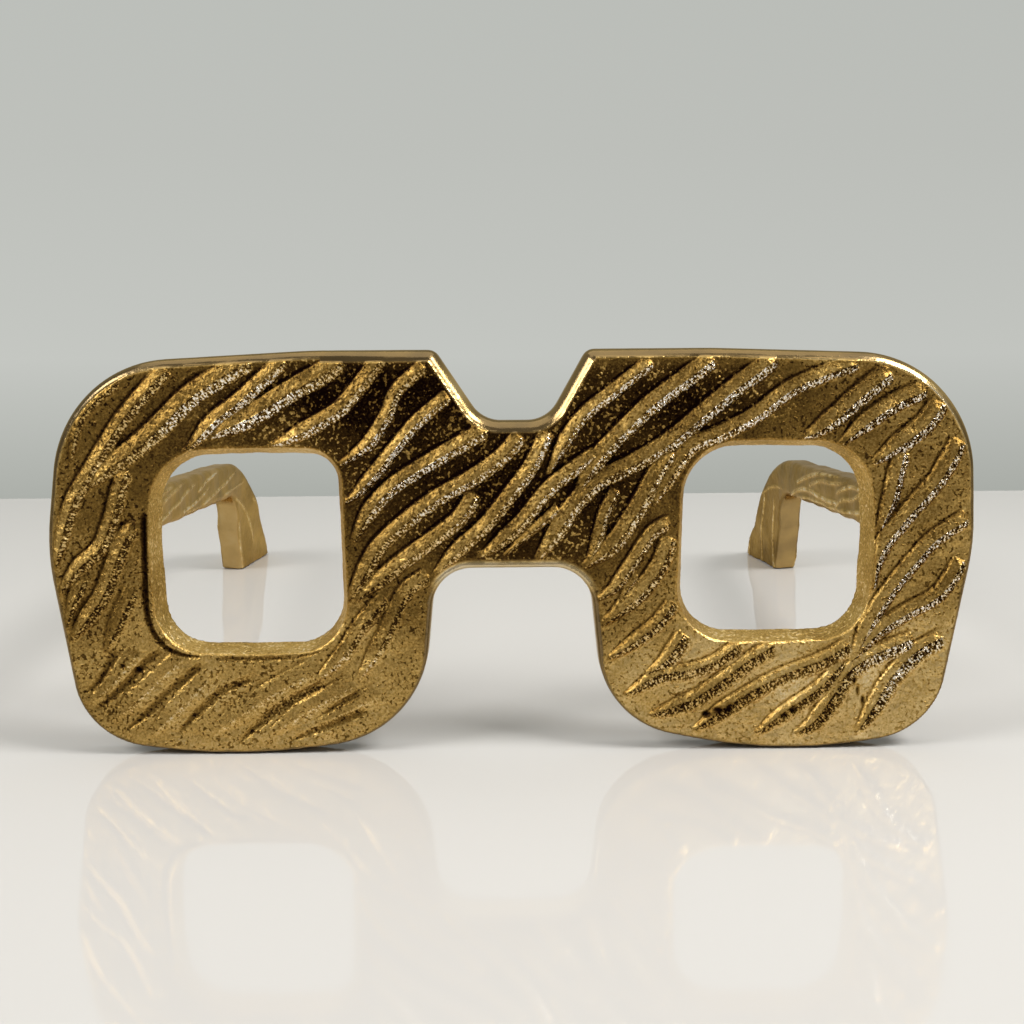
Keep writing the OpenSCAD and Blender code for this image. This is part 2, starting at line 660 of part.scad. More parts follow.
module temple(side) {
    color(cast_brass)
        difference() {
            on_table() on_side(side)
                difference() {
                    temple_blank(side);
                    translate([hinge_x, hinge_y, temple_z - temple_h])
                        cylinder(r = notch_clear_r, h = 2 * temple_h, $fn = 48);
                    translate([hinge_x - temple_w, temple_start_y - 1, temple_z - temple_h])
                        cube([temple_w, notch_clear_r, 2 * temple_h]);
                    translate([hinge_x - barrel_r - 1, hinge_y, temple_z - tang_h / 2 - seat_clear])
                        cube([tang_t + 1 + seat_clear, tang_len + seat_clear, tang_h + 2 * seat_clear]);
                    at_tang_screws() screw_shape(seat_clear);
                }
            table_cut();
        }
}

module temple_leaf(side) {
    color(turned_brass)
        on_table() on_side(side)
            difference() {
                union() {
                    barrel(mid_barrel_h);
                    translate([hinge_x - barrel_r, hinge_y, temple_z - mid_barrel_h / 2])
                        cube([tang_t, notch_clear_r + 1, mid_barrel_h]);
                    translate([hinge_x - barrel_r, hinge_y + notch_clear_r + run_gap, temple_z - tang_h / 2])
                        cube([tang_t, tang_len - notch_clear_r - run_gap, tang_h]);
                }
                pin_bore();
                at_tang_screws() screw_shape(seat_clear);
            }
}

module temple_leaf_screws(side) {
    color(turned_brass) on_table() on_side(side) at_tang_screws() screw();
}

frame_front();
front_leaf(LEFT);  // left_front_leaf
front_leaf(RIGHT);  // right_front_leaf
front_leaf_screws(LEFT);  // left_front_leaf_screws
front_leaf_screws(RIGHT);  // right_front_leaf_screws
hinge_screw(LEFT);  // left_hinge_screw
hinge_screw(RIGHT);  // right_hinge_screw
hinge_nut(LEFT);  // left_hinge_nut
hinge_nut(RIGHT);  // right_hinge_nut
temple(LEFT);  // left_temple
temple(RIGHT);  // right_temple
temple_leaf(LEFT);  // left_temple_leaf
temple_leaf(RIGHT);  // right_temple_leaf
temple_leaf_screws(LEFT);  // left_temple_leaf_screws
temple_leaf_screws(RIGHT);  // right_temple_leaf_screws
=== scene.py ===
# %% [markdown]
# # A pair of eyeglasses cast in brass
# The real object is a shelf sculpture: a thick slab of sand-cast brass cut to the shape of
# spectacles, with a wavy raised grain over its face, and two cast temples that fold on hinges.
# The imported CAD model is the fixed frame. Each step below gives one part of it its looks.

# %% Load the frame
import json
import math
import bmesh
import bpy
import numpy as np
from mathutils import Matrix, Vector
from mathutils.geometry import tessellate_polygon


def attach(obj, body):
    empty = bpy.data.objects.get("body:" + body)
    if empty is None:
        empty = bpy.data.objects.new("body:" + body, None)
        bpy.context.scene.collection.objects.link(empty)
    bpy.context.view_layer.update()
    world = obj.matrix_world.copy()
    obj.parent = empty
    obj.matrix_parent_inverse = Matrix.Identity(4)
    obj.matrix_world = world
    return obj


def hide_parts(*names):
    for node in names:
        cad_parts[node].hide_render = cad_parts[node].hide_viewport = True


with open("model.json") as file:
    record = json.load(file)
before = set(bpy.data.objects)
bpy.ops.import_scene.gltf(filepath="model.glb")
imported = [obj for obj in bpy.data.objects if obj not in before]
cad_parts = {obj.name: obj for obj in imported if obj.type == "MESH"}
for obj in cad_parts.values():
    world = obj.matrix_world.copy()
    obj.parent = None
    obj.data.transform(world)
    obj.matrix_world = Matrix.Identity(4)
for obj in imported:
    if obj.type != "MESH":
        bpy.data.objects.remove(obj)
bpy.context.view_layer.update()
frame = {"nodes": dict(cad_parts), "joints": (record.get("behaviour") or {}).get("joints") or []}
nodes = frame["nodes"]

# %% [markdown]
# ## Where the front stands
# The front leans back by 5 degrees. Its shapes are easiest to make upright, in millimetres, with
# the face at y = 0, so one matrix takes them from there to the table. The hinge of the left temple
# is a point that both sides know, and it gives the matrix its place.

# %% The front's own frame
LEAN = math.radians(5)
# the line on which the leaning front stands, and the depth that is ground off its foot
STAND_Y, GROUND_OFF = 8.8, 0.45
HINGE = (141.5, 17.3, 71.8)
hinge = [j for j in frame["joints"] if j["name"] == "left_fold"][0]["pos_m"]
PLACE_Y = hinge[1] * 1000 - (HINGE[1] - STAND_Y) * math.cos(LEAN) - HINGE[2] * math.sin(LEAN)
ON_TABLE = (
    Matrix.Translation((0, PLACE_Y / 1000, -GROUND_OFF / 1000))
    @ Matrix.Rotation(-LEAN, 4, "X")
    @ Matrix.Translation((0, -STAND_Y / 1000, 0))
)
print("the foot of the rims is at y = %.1f mm" % PLACE_Y)

# %% [markdown]
# ## Camera
# The photograph was taken from a little above the table and straight in front. A camera was fitted
# to the object's outline and to its reflection in the table, which gives its place and its lens.

# %% Camera
# width of the sensor in mm, and the fitted focal length and the picture's width in pixels
SENSOR, FOCAL_PX, PICTURE_PX = 36, 1300, 1024
# the fit's zero lies a little in front of the foot of the rims; lengths in mm, angles in degrees
FIT_Y = PLACE_Y - 2.291
EYE = (-4.304, FIT_Y - 410.98, 159.75)
TURN, LOOK_DOWN, ROLL = -0.6, 11.11, -0.36


def linked(name, data):
    """A new object in the scene."""
    made = bpy.data.objects.new(name, data)
    bpy.context.scene.collection.objects.link(made)
    return made


def turned(degrees, axis):
    return Matrix.Rotation(math.radians(degrees), 4, axis)


cam = bpy.data.cameras.new("camera")
cam.sensor_width = SENSOR
cam.lens = SENSOR * FOCAL_PX / PICTURE_PX
cam.clip_start = 0.01
camera = linked("camera", cam)
camera.location = [c / 1000 for c in EYE]
look = turned(TURN, "Z") @ turned(90 - LOOK_DOWN, "X") @ turned(ROLL, "Z")
camera.rotation_euler = look.to_euler()
bpy.context.scene.camera = camera
bpy.context.scene.view_settings.view_transform = "Standard"
print("lens %.1f mm" % cam.lens)

# %% [markdown]
# ## Small helpers for materials
# Colours are written as sRGB hex values, as a paint shop does, and one function turns them into
# the linear values that shaders work with. Another adds a node with its settings and its links.
# A key of the settings is an input's number or name, or else a property of the node.

# %% Material helpers
def linear(hex_colour):
    parts = [int(hex_colour[i:i + 2], 16) / 255 for i in (1, 3, 5)]
    return [c / 12.92 if c <= 0.04045 else ((c + 0.055) / 1.055) ** 2.4 for c in parts] + [1.0]


def add(tree, kind, settings=None, links=None):
    node = tree.nodes.new(kind)
    for key, value in (settings or {}).items():
        if isinstance(key, int) or key in node.inputs:
            node.inputs[key].default_value = value
        else:
            setattr(node, key, value)
    for key, source in (links or {}).items():
        tree.links.new(source, node.inputs[key])
    return node


def new_material(name):
    material = bpy.data.materials.new(name)
    material.use_nodes = True
    material.node_tree.nodes.clear()
    return material, material.node_tree


def set_ramp(node, stops):
    ramp = node.color_ramp
    while len(ramp.elements) < len(stops):
        ramp.elements.new(0.5)
    for element, (at, colour) in zip(ramp.elements, stops):
        element.position = at
        element.color = linear(colour)


print("mid gold in linear:", [round(c, 3) for c in linear("#9a7636")[:3]])

# %% [markdown]
# ## Table and wall
# The object stands on a glossy white lacquered table, and behind its far edge there is a pale
# grey-green wall. Lacquer is a smooth dielectric, so a plain shader with low roughness gives the
# faint reflection of the piece. To the camera and to reflections the wall glows with painted
# light and shade, darker low down and to the right, and to all other rays it is plain matt paint.

# %% Table
def box_mesh(name, low, high):
    ends = list(zip(low, high))
    corners = [(x, y, z) for x in ends[0] for y in ends[1] for z in ends[2]]
    faces = [(0, 1, 3, 2), (4, 6, 7, 5), (0, 4, 5, 1), (2, 3, 7, 6), (0, 2, 6, 4), (1, 5, 7, 3)]
    mesh = bpy.data.meshes.new(name)
    mesh.from_pydata(corners, [], faces)
    return linked(name, mesh)


TABLE_HALF, TABLE_THICK = 2.4, 0.03
table_back = (FIT_Y + 464) / 1000
table = box_mesh("table", (-TABLE_HALF, -TABLE_HALF, -TABLE_THICK), (TABLE_HALF, table_back, 0))
lacquer, tree = new_material("white_lacquer_sprayed")
coat = {"Base Color": linear("#d1cec9"), "Roughness": 0.04, "IOR": 1.55}
skin = add(tree, "ShaderNodeBsdfPrincipled", coat)
add(tree, "ShaderNodeOutputMaterial", links={"Surface": skin.outputs[0]})
table.data.materials.append(lacquer)
print("the table ends at y = %.3f m" % table_back)

# %% Wall
WALL_Y = table_back + 2.2
wall = box_mesh("wall", (-9, WALL_Y, -2), (9, WALL_Y + 0.1, 6))
paint, tree = new_material("pale_wall_painted_light")
place = add(tree, "ShaderNodeTexCoord")
across = add(tree, "ShaderNodeSeparateXYZ", links={0: place.outputs["Object"]})
# painted shade: the wall's glow is darkest at the height where the table's edge hides it, and a
# little darker to the right
down = add(tree, "ShaderNodeMapRange", {1: -0.41, 2: 0.95}, {0: across.outputs["Z"]})
shade = add(tree, "ShaderNodeValToRGB", links={0: down.outputs[0]})
set_ramp(shade, [(0.0, "#a9aca6"), (0.25, "#c2c4bf"), (0.6, "#bcbeb9"), (1.0, "#b9bcb7")])
sideways = {1: -3.3, 2: 3.3, 3: 1.06, 4: 0.97}
fall = add(tree, "ShaderNodeMapRange", sideways, {0: across.outputs["X"]})
shown = {"Color": shade.outputs[0], "Strength": fall.outputs[0]}
glow = add(tree, "ShaderNodeEmission", links=shown)
matt = add(tree, "ShaderNodeBsdfDiffuse", {"Color": linear("#c0c2bd")})
path = add(tree, "ShaderNodeLightPath")
ways = {0: path.outputs["Is Camera Ray"], 1: path.outputs["Is Glossy Ray"]}
seen = add(tree, "ShaderNodeMath", {"operation": "MAXIMUM"}, ways)
either = {0: seen.outputs[0], 1: matt.outputs[0], 2: glow.outputs[0]}
both = add(tree, "ShaderNodeMixShader", links=either)
add(tree, "ShaderNodeOutputMaterial", links={"Surface": both.outputs[0]})
wall.data.materials.append(paint)
print("the wall stands at y = %.2f m" % WALL_Y)

# %% [markdown]
# ## Light
# Two windows light the piece, a strong one at the upper right and a weaker one at the left, under
# a large soft ceiling light. The world is a plain pale grey. Metal shows what it reflects, so the
# size of the lamps matters more here than their strength. The windows are small enough to draw
# bright lines on the polished edges. Each has a twin for the table alone, so that the lacquer takes
# the same light and doesn't show a bright square.

# %% Lamps and world
def area_lamp(name, size, power, place, aim):
    light = bpy.data.lights.new(name, "AREA")
    light.shape = "RECTANGLE"
    light.size, light.size_y, light.energy = size[0], size[1], power
    lamp = linked(name, light)
    lamp.location = place
    lamp.rotation_euler = (Vector(aim) - Vector(place)).to_track_quat("-Z", "Y").to_euler()
    return lamp


def link_to(lamp, thing, state):
    """Light linking: INCLUDE lights this thing alone, EXCLUDE all but this thing."""
    group = bpy.data.collections.new(lamp.name + "_group")
    group.objects.link(thing)
    group.collection_objects[0].light_linking.link_state = state
    lamp.light_linking.receiver_collection = group


# name, size in m, power in W, place
WINDOWS = [
    ("window_right", 0.42, 11, (0.75, -0.35, 0.95)),
    ("window_left", 0.5, 8, (-0.9, -0.5, 0.8)),
]
AIM = (0, -0.1, 0.05)
CEILING_SIZE, CEILING_POWER, CEILING_PLACE = (1.6, 1.2), 6, (0, 0.15, 1.3)
for name, size, power, place in WINDOWS:
    link_to(area_lamp(name, (size, size), power, place, AIM), table, "EXCLUDE")
    on_table = area_lamp(name + "_on_table", (size, size), power, place, AIM)
    on_table.visible_glossy = False
    link_to(on_table, table, "INCLUDE")
area_lamp("ceiling", CEILING_SIZE, CEILING_POWER, CEILING_PLACE, (0, 0, 0))
world = bpy.data.worlds.new("room")
bpy.context.scene.world = world
world.use_nodes = True
background = world.node_tree.nodes["Background"]
background.inputs["Color"].default_value = linear("#b9b7b2")
background.inputs["Strength"].default_value = 0.55

# %% [markdown]
# ## The front's outline
# The founder's pattern starts as a board sawn to an outline. The outline is a list of corners, each
# with a radius, and each corner becomes points on an arc that know which way is outwards. With
# that, one outline gives every ring of the rounded edge.

# %% Outline helpers
# degrees between two points of an arc
ARC_STEP = 4


def rounded(a, b, c, r):
    """Points on the arc that rounds corner b between a and c, each with its outward direction."""
    a, b, c = (np.array(p, float) for p in (a, b, c))
    u, v = (a - b) / np.linalg.norm(a - b), (c - b) / np.linalg.norm(c - b)
    half = math.acos(np.clip(u @ v, -1, 1)) / 2
    middle = b + (u + v) / np.linalg.norm(u + v) * r / math.sin(half)
    turn = (b - a)[0] * (c - b)[1] - (b - a)[1] * (c - b)[0]
    side = 1 if turn > 0 else -1
    sweep = (math.pi - 2 * half) * side
    first = np.array([-u[1], u[0]])
    steps = max(2, math.ceil(abs(math.degrees(sweep)) / ARC_STEP))
    points = []
    for i in range(steps + 1):
        k = sweep * i / steps
        cos, sin = math.cos(k), math.sin(k)
        w = np.array([first[0] * cos - first[1] * sin, first[0] * sin + first[1] * cos])
        points.append((middle + w * r * side, w))
    return points


def outline(corners):
    n, found = len(corners), []
    for i, c in enumerate(corners):
        found += rounded(corners[i - 1][:2], c[:2], corners[(i + 1) % n][:2], c[2])
    return np.array([p for p, w in found]), np.array([w for p, w in found])


def mirrored(corners):
    return [(-x, z, r) for x, z, r in reversed(corners)]


# %% Outlines of the front and of its two openings
W, H = 300.0, 131.2
# the nose gap: half its width, its height, its radius, and half its width at the foot
GAP_HALF, GAP_TOP, GAP_R, GAP_FOOT = 25, 60.6, 13, 30.25
# the two ends of the long arc at the foot of a rim
FOOT = (76, 104)
# the lower outer corner's rise and radius, and the radius of the upper outer corner
CHEEK_RISE, CHEEK_R, BROW_R = 5.4, 26, 39
# the notch: half its width, the radius of its lips, its depth and the radius at its floor
NOTCH_HALF, LIPS_R, NOTCH_DEPTH, NOTCH_R = 24.5, 4.2, 22.8, 11


def half_front(jaw_rise, jaw_r, cheek_in, brow_in, brow_drop, floor_half):
    """Corners of the right half, from the gap round the rim to the notch: x, height, radius."""
    turn_in = math.atan(jaw_rise / (FOOT[0] - GAP_FOOT))
    turn_out = math.atan(CHEEK_RISE / (W / 2 - cheek_in - FOOT[1]))
    foot_r = 0.99 * (FOOT[1] - FOOT[0]) / (math.tan(turn_in / 2) + math.tan(turn_out / 2))
    return [
        (GAP_HALF, GAP_TOP, GAP_R), (GAP_FOOT, jaw_rise, jaw_r),
        (FOOT[0], 0, foot_r), (FOOT[1], 0, foot_r), (W / 2 - cheek_in, CHEEK_RISE, CHEEK_R),
        (W / 2 + 0.6, H * 0.52, 75), (W / 2 - brow_in, H - brow_drop, BROW_R),
        (W / 2 * 0.43, H, 150), (NOTCH_HALF, H, LIPS_R), (floor_half, H - NOTCH_DEPTH, NOTCH_R),
    ]


right_half = half_front(
    jaw_rise=9.4, jaw_r=30, cheek_in=11.4, brow_in=1.5, brow_drop=2.7, floor_half=11.7)
left_half = half_front(
    jaw_rise=6.4, jaw_r=36, cheek_in=9.6, brow_in=6.6, brow_drop=4.1, floor_half=9.3)
front_line, front_out = outline(right_half + mirrored(left_half))

# distance of an opening from the middle, and its width
HOLE_X, HOLE_W = 55.8, 59.2


def hole(foot, top, top_r):
    """Corners of an opening, whose foot, outer side and top bow outwards a little."""
    corners = [
        (-0.2, foot, 15), (HOLE_W / 2, foot - 0.4, 90), (HOLE_W - 1.6, foot + 0.4, 14),
        (HOLE_W + 0.3, (foot + top) / 2 + 4, 120), (HOLE_W - 1.6, top - 0.4, 16),
        (HOLE_W * 0.45, top + 0.4, 90), (1.4, top, top_r),
    ]
    return [(HOLE_X + x, z, r) for x, z, r in corners]


right_line, right_out = outline(hole(foot=38.3, top=98.9, top_r=17))
left_line, left_out = outline(mirrored(hole(foot=35.5, top=97.6, top_r=9.5)))
print("outline points:", len(front_line), len(left_line), len(right_line))

# %% [markdown]
# ## The blank of the front
# A pattern maker rounds the board's edges before carving the face. The edge is wide along the brow
# and widest at the bridge, and narrow at the feet, so its size follows the direction in which the
# outline faces. It starts at a crease, where the polisher stopped at the face. Rings of the
# outlines make the edge, the back and the drafted walls of the two openings, and triangles close
# the face and the back. A voxel remesh gives an even mesh, and the face gets one more cut, so that
# the carving stays crisp.

# %% Size of the rounded edge along the outline
def ease(value, low, high):
    t = np.clip((value - low) / (high - low), 0, 1)
    return t * t * (3 - 2 * t)


# width of the edge at the feet, and what is added at the brow and at the bridge
EDGE_FOOT, EDGE_BROW, EDGE_BRIDGE = 0.45, 2.0, 1.0


def edge_size(line, out):
    """Width of the rounded edge as seen from the front."""
    facing_up = ease(out[:, 1], -0.5, 0.7)
    under, over = ease(line[:, 1], 40, 52), ease(line[:, 1], 75, 95)
    at_bridge = ease(36 - np.abs(line[:, 0]), 0, 9) * (0.35 * under + 0.65 * over)
    return EDGE_FOOT + EDGE_BROW * facing_up + EDGE_BRIDGE * at_bridge


rim_size = edge_size(front_line, front_out)
print("edge from %.1f to %.1f mm" % (rim_size.min(), rim_size.max()))

# %% Build the blank
# radius of the back edge, thickness, how much an opening widens to the face, and its lip's radius
BACK_R, THICK, DRAFT, LIP_R = 1.2, 10.0, 2.2, 0.7
# the slope of the rounded edge where it meets the face, in degrees
CREASE = 62
# depth of the rounded edge: a least value, and what is added for each mm of its width
EDGE_DEPTH, DEPTH_RATE = 0.9, 1.25
# size of the even mesh, in m
VOXEL = 0.0007


def arc(steps, first, last):
    return [math.radians(first + (last - first) * i / steps) for i in range(steps + 1)]


def ring(line, out, grow, y):
    """An outline moved outwards by grow, at the depth y behind the face."""
    depth = np.broadcast_to(y, len(line))
    return np.stack([line[:, 0] + out[:, 0] * grow, depth, line[:, 1] + out[:, 1] * grow], 1)


def rim_rings():
    wide, deep = 1 - math.cos(math.radians(CREASE)), math.sin(math.radians(CREASE))
    depth = EDGE_DEPTH + DEPTH_RATE * rim_size
    steps = [
        (rim_size * (math.cos(a) - 1) / wide, depth * (1 - math.sin(a) / deep))
        for a in arc(8, CREASE, 0)
    ]
    steps += [
        (BACK_R * (math.cos(a) - 1), THICK - BACK_R * (1 - math.sin(a)))
        for a in arc(4, 0, 90)
    ]
    return [ring(front_line, front_out, grow, y) for grow, y in steps]


def hole_rings(line, out):
    lip = [(DRAFT + LIP_R * (1 - math.cos(a)), LIP_R * (1 - math.sin(a))) for a in arc(3, 90, 0)]
    return [ring(line, out, grow, y) for grow, y in lip + [(0, THICK)]]


def front_blank():
    points, faces, caps = [], [], ([], [])
    for loops in (rim_rings(), hole_rings(left_line, left_out), hole_rings(right_line, right_out)):
        start, n = len(points), len(loops[0])
        points += [tuple(v) for loop in loops for v in loop]
        for j in range(len(loops) - 1):
            this, following = start + j * n, start + (j + 1) * n
            for i in range(n):
                k = (i + 1) % n
                faces.append([this + i, this + k, following + k, following + i])
        caps[0].append(list(range(start, start + n)))
        caps[1].append(list(range(len(points) - n, len(points))))
    for cap in caps:
        flat = [[Vector((points[i][0], points[i][2], 0)) for i in loop] for loop in cap]
        order = [i for loop in cap for i in loop]
        faces += [[order[i] for i in t] for t in tessellate_polygon(flat)]
    mesh = bpy.data.meshes.new("front_blank")
    mesh.from_pydata([tuple(c / 1000 for c in p) for p in points], [], faces)
    return mesh


def applied(thing):
    """The mesh of an object with its modifiers; the object itself goes."""
    bpy.context.view_layer.update()
    shown = thing.evaluated_get(bpy.context.evaluated_depsgraph_get())
    made = bpy.data.meshes.new_from_object(shown)
    bpy.data.objects.remove(thing)
    return made


def remeshed(mesh):
    rough = linked("rough", mesh)
    fine = rough.modifiers.new("fine", "REMESH")
    fine.mode, fine.voxel_size = "VOXEL", VOXEL
    return applied(rough)


def finer_face(mesh):
    """One more cut through the faces that look forwards and lie less than 0.8 mm deep."""
    work = bmesh.new()
    work.from_mesh(mesh)
    flat = [f for f in work.faces if f.normal.y < -0.8 and f.calc_center_median().y < 0.0008]
    edges = list({e for f in flat for e in f.edges})
    bmesh.ops.subdivide_edges(work, edges=edges, cuts=1, use_grid_fill=True)
    work.to_mesh(mesh)
    work.free()
    return mesh


front_mesh = finer_face(remeshed(front_blank()))
print("front:", len(front_mesh.vertices), "points")

# %% [markdown]
# ## The wavy grain
# Raised ridges run from the lower left to the upper right, like the grain of driftwood. Each is
# a line of points with a width and a height. A smooth curve through the points, and the distance
# of every point of the face from it, give a rounded ridge that starts bluntly, narrows towards its
# last point, and has a fine groove along its upper left foot. Hollows are the same lines, sunk in.

# %% The ridges: width in mm, height in mm, points along the middle
RIDGES = [
    (5.8, 1.5, [(-109.5, 125.5), (-116, 119), (-125, 108.5), (-131.3, 98.8), (-136, 91.5),
                (-140.7, 83.8), (-144, 75), (-147.5, 62)]),
    (7.6, 1.5, [(-83, 128.3), (-89, 125), (-102, 117), (-113.6, 106), (-123, 98.4), (-128, 95),
                (-136, 88)]),
    (5.8, 1.5, [(-123.7, 93.6), (-126.2, 86.3), (-128.7, 78), (-133, 68.3), (-139.9, 62.1),
                (-145, 55.9), (-146.2, 53.3)]),
    (6.4, 1.4, [(-120.5, 74), (-124.3, 72.2), (-128.1, 63.8), (-132.5, 53.1), (-137.1, 46.6),
                (-144, 37.6)]),
    (4.2, 1.1, [(-124.9, 121.7), (-133.7, 114.6), (-138.3, 108.5), (-140.4, 100), (-141.3, 95.5)]),
    (5.8, 1.5, [(-72, 128), (-80.2, 121), (-87.6, 114.5), (-95, 109), (-102, 101.5), (-104.5, 99)]),
    (7.6, 1.5, [(-54, 128), (-61.3, 123), (-71.6, 117.5), (-81.6, 111.3), (-92, 106.3),
                (-96.5, 103.5)]),
    (5.8, 1.5, [(-41.5, 128.5), (-47.4, 121), (-54.2, 113), (-63, 107.5), (-72.4, 102.7),
                (-77, 101)]),
    (5, 1.5, [(-27.5, 126), (-36.2, 118.5), (-39.8, 110.5), (-45.5, 101.8), (-50.5, 97.8),
              (-55.5, 94.5)]),
    (5, 1.5, [(-20, 116.5), (-29.3, 109), (-36.6, 101), (-43, 93), (-50, 85.3), (-54.5, 82.3)]),
    (6, 1.5, [(-8, 105.5), (-18, 100), (-29, 93.5), (-39, 87), (-46.3, 78.7), (-51.5, 69.5)]),
    (6, 1.5, [(3, 103.5), (-4, 96), (-13.5, 89.5), (-24.5, 83.3), (-35, 75.5), (-43, 68),
              (-48.5, 58.5), (-53.5, 50)]),
    (6, 1.5, [(-12, 85), (-16.5, 77.5), (-24.5, 71), (-35, 63.5), (-44.5, 55.8), (-51, 50.5)]),
    (5.6, 1.5, [(11.5, 104.6), (6.9, 94.6), (0, 85.2), (-8.5, 74.8), (-18, 66.3), (-25.5, 58)]),
    (5.6, 1.5, [(28, 98), (18.2, 91.4), (11.1, 85.4), (2.7, 75.1), (-6.8, 67), (-11, 64.3)]),
    (3.6, 1.2, [(15.1, 80.2), (9.5, 75.4), (2.3, 69.4), (-3, 64.5)]),
    (5, 1.5, [(44.9, 127), (33.4, 118), (23.4, 110.1), (17, 101.3), (13.1, 93.8), (12, 91)]),
    (6.6, 1.5, [(64.6, 127.8), (54.9, 120.6), (45.3, 113.6), (37.4, 106.2), (29.4, 97.9),
                (24.4, 91), (21, 84)]),
    (6.6, 1.5, [(84.8, 127.7), (74.7, 120.5), (63.9, 112), (51.3, 101.5), (39.4, 94.4),
                (27.8, 88.5), (19.8, 80.6), (13.5, 71), (8, 63.3)]),
    (5.8, 1.4, [(111, 126.1), (100.3, 122.5), (89.2, 117.6), (78.4, 109.5), (67.5, 103.8),
                (57.8, 99.7), (51.2, 90.5), (45.3, 80.5)]),
    (4.6, 1.3, [(33.8, 86), (30, 78.1), (27.8, 70.5), (25.4, 64.1), (23, 61.4)]),
    (6.6, 1.5, [(51.7, 98.3), (46.5, 90.4), (40.2, 78.9), (32.6, 68.2), (23, 60.7)]),
    (5, 1.4, [(51.3, 75.2), (45.3, 71.7), (38.8, 61.9), (33.5, 54.4), (27, 49.7)]),
    (6.4, 1.4, [(51.3, 70.4), (48.4, 62), (42.8, 53.8), (35.8, 47.3), (29.3, 41.7)]),
    (3.6, 1.0, [(40.5, 58.1), (35.9, 51.5), (33.8, 48.9)]),
    (7, 1.4, [(121.4, 123.2), (111.5, 115.2), (104.4, 108.7), (97, 103.8), (92.9, 102.2)]),
    (6.4, 1.4, [(133.2, 117.4), (122.3, 112.6), (111.7, 105), (105.8, 99.6)]),
    (7, 1.4, [(138, 113.3), (133.3, 106.5), (126.2, 100.8), (116.3, 93.7)]),
    (5.8, 1.4, [(126, 97.5), (124, 89.3), (122.5, 82), (118.8, 71.4)]),
    (6.4, 1.4, [(144.6, 101), (138.4, 89.4), (132.4, 82.1), (126.1, 74.8), (118.5, 63.6),
                (117.3, 52.4)]),
    (5.8, 1.4, [(147.6, 76), (138, 69.7), (131.1, 62.5), (123.3, 52.7), (117.3, 42.9), (111, 29)]),
    (5.8, 1.4, [(146.2, 62.1), (139.2, 51.1), (128.8, 45), (118.9, 38.4), (110, 28.1)]),
    (7, 1.3, [(141, 36), (132.7, 31.3), (124.9, 23.3), (119.3, 13.7), (113.1, 4.5)]),
    (7, 1.3, [(131.5, 35.3), (121, 31.4), (111.7, 25.9), (105.7, 17.1), (99.5, 8.5), (92.4, 4.2)]),
    (5.8, 1.3, [(108.8, 28), (100.7, 19.6), (92.3, 13.6), (79.2, 4.3)]),
    (6.4, 1.3, [(110.5, 34), (101.4, 28.7), (87.4, 23.3), (73.8, 15.6), (59.3, 5.9)]),
    (6.4, 1.3, [(85.9, 33.7), (77, 28.5), (67.6, 21.4), (58.2, 15.6), (44.2, 11)]),
    (5.8, 1.3, [(74.7, 34.6), (66.3, 28.6), (56.9, 25.6), (47.6, 24.2), (36.4, 17.7)]),
    (7, 1.3, [(56.7, 38.1), (50.8, 29.6), (43.4, 24.5)]),
    (5.4, 1.3, [(52.7, 49), (47.4, 42), (40.5, 36.4), (30.7, 30.1)]),
    (5.8, 1.2, [(-26.9, 58.5), (-33.4, 54.5), (-37.3, 48), (-42.4, 37.2), (-50.5, 24.1)]),
    (5.8, 1.2, [(-41.3, 51.3), (-49.1, 42.3), (-55.5, 32.5), (-64.3, 24.1)]),
    (5.4, 1.2, [(-138.3, 58.3), (-141.9, 51.3), (-145, 42)]),
    (6.4, 1.0, [(-122.7, 54.5), (-127.7, 44.6), (-132.6, 34)]),
    (7, 0.6, [(-122, 35), (-126.4, 29), (-134.5, 20.5), (-138, 17.8)]),
    (7, 0.6, [(-108, 32), (-118, 23), (-127.5, 14.5), (-132, 11)]),
    (7, 0.6, [(-100, 25), (-111, 14), (-119, 6)]),
    (8, 0.6, [(-64, 28), (-80, 19.5), (-94, 10.5), (-98, 6.5)]),
    (7, 0.6, [(-52, 23), (-68, 14), (-80, 6.5)]),
    (7, 0.5, [(-43, 20), (-58, 12.5), (-65, 9)]),
]

# %% Hollows: width in mm, depth in mm, points along the middle
# the valleys of the low swells, and the groove round the left opening
HOLLOWS = [
    (3.4, 0.5, [(-129.2, 35.5), (-132.4, 28.2), (-136.2, 23.5), (-139.9, 20.6)]),
    (3.4, 0.55, [(-114.4, 34.5), (-120.4, 29.8), (-125.3, 24.4), (-132.8, 17.6), (-136.5, 15)]),
    (3.2, 0.55, [(-101.3, 29.7), (-112.9, 20.4), (-120, 13.4), (-127.5, 7.6)]),
    (3.4, 0.6, [(-85, 25), (-95.3, 20.6), (-102.9, 14.1), (-110.1, 6.7)]),
    (3.6, 0.65, [(-61.5, 23), (-73.7, 16.9), (-81.4, 11.3), (-90.6, 3.1)]),
    (3.0, 0.5, [(-50, 19.6), (-57.3, 15.9), (-62, 12.5)]),
    (3.2, 0.55, [(-48.3, 13.9), (-62.5, 8.3), (-73.8, 3.7)]),
    (2.2, 0.9, [(-118.6, 80), (-118.9, 62), (-118.6, 46), (-114.8, 37), (-109, 33.4), (-102, 32)]),
    (1.8, 0.6, [(-96, 31.6), (-84, 31.4), (-70, 32), (-62, 34)]),
]
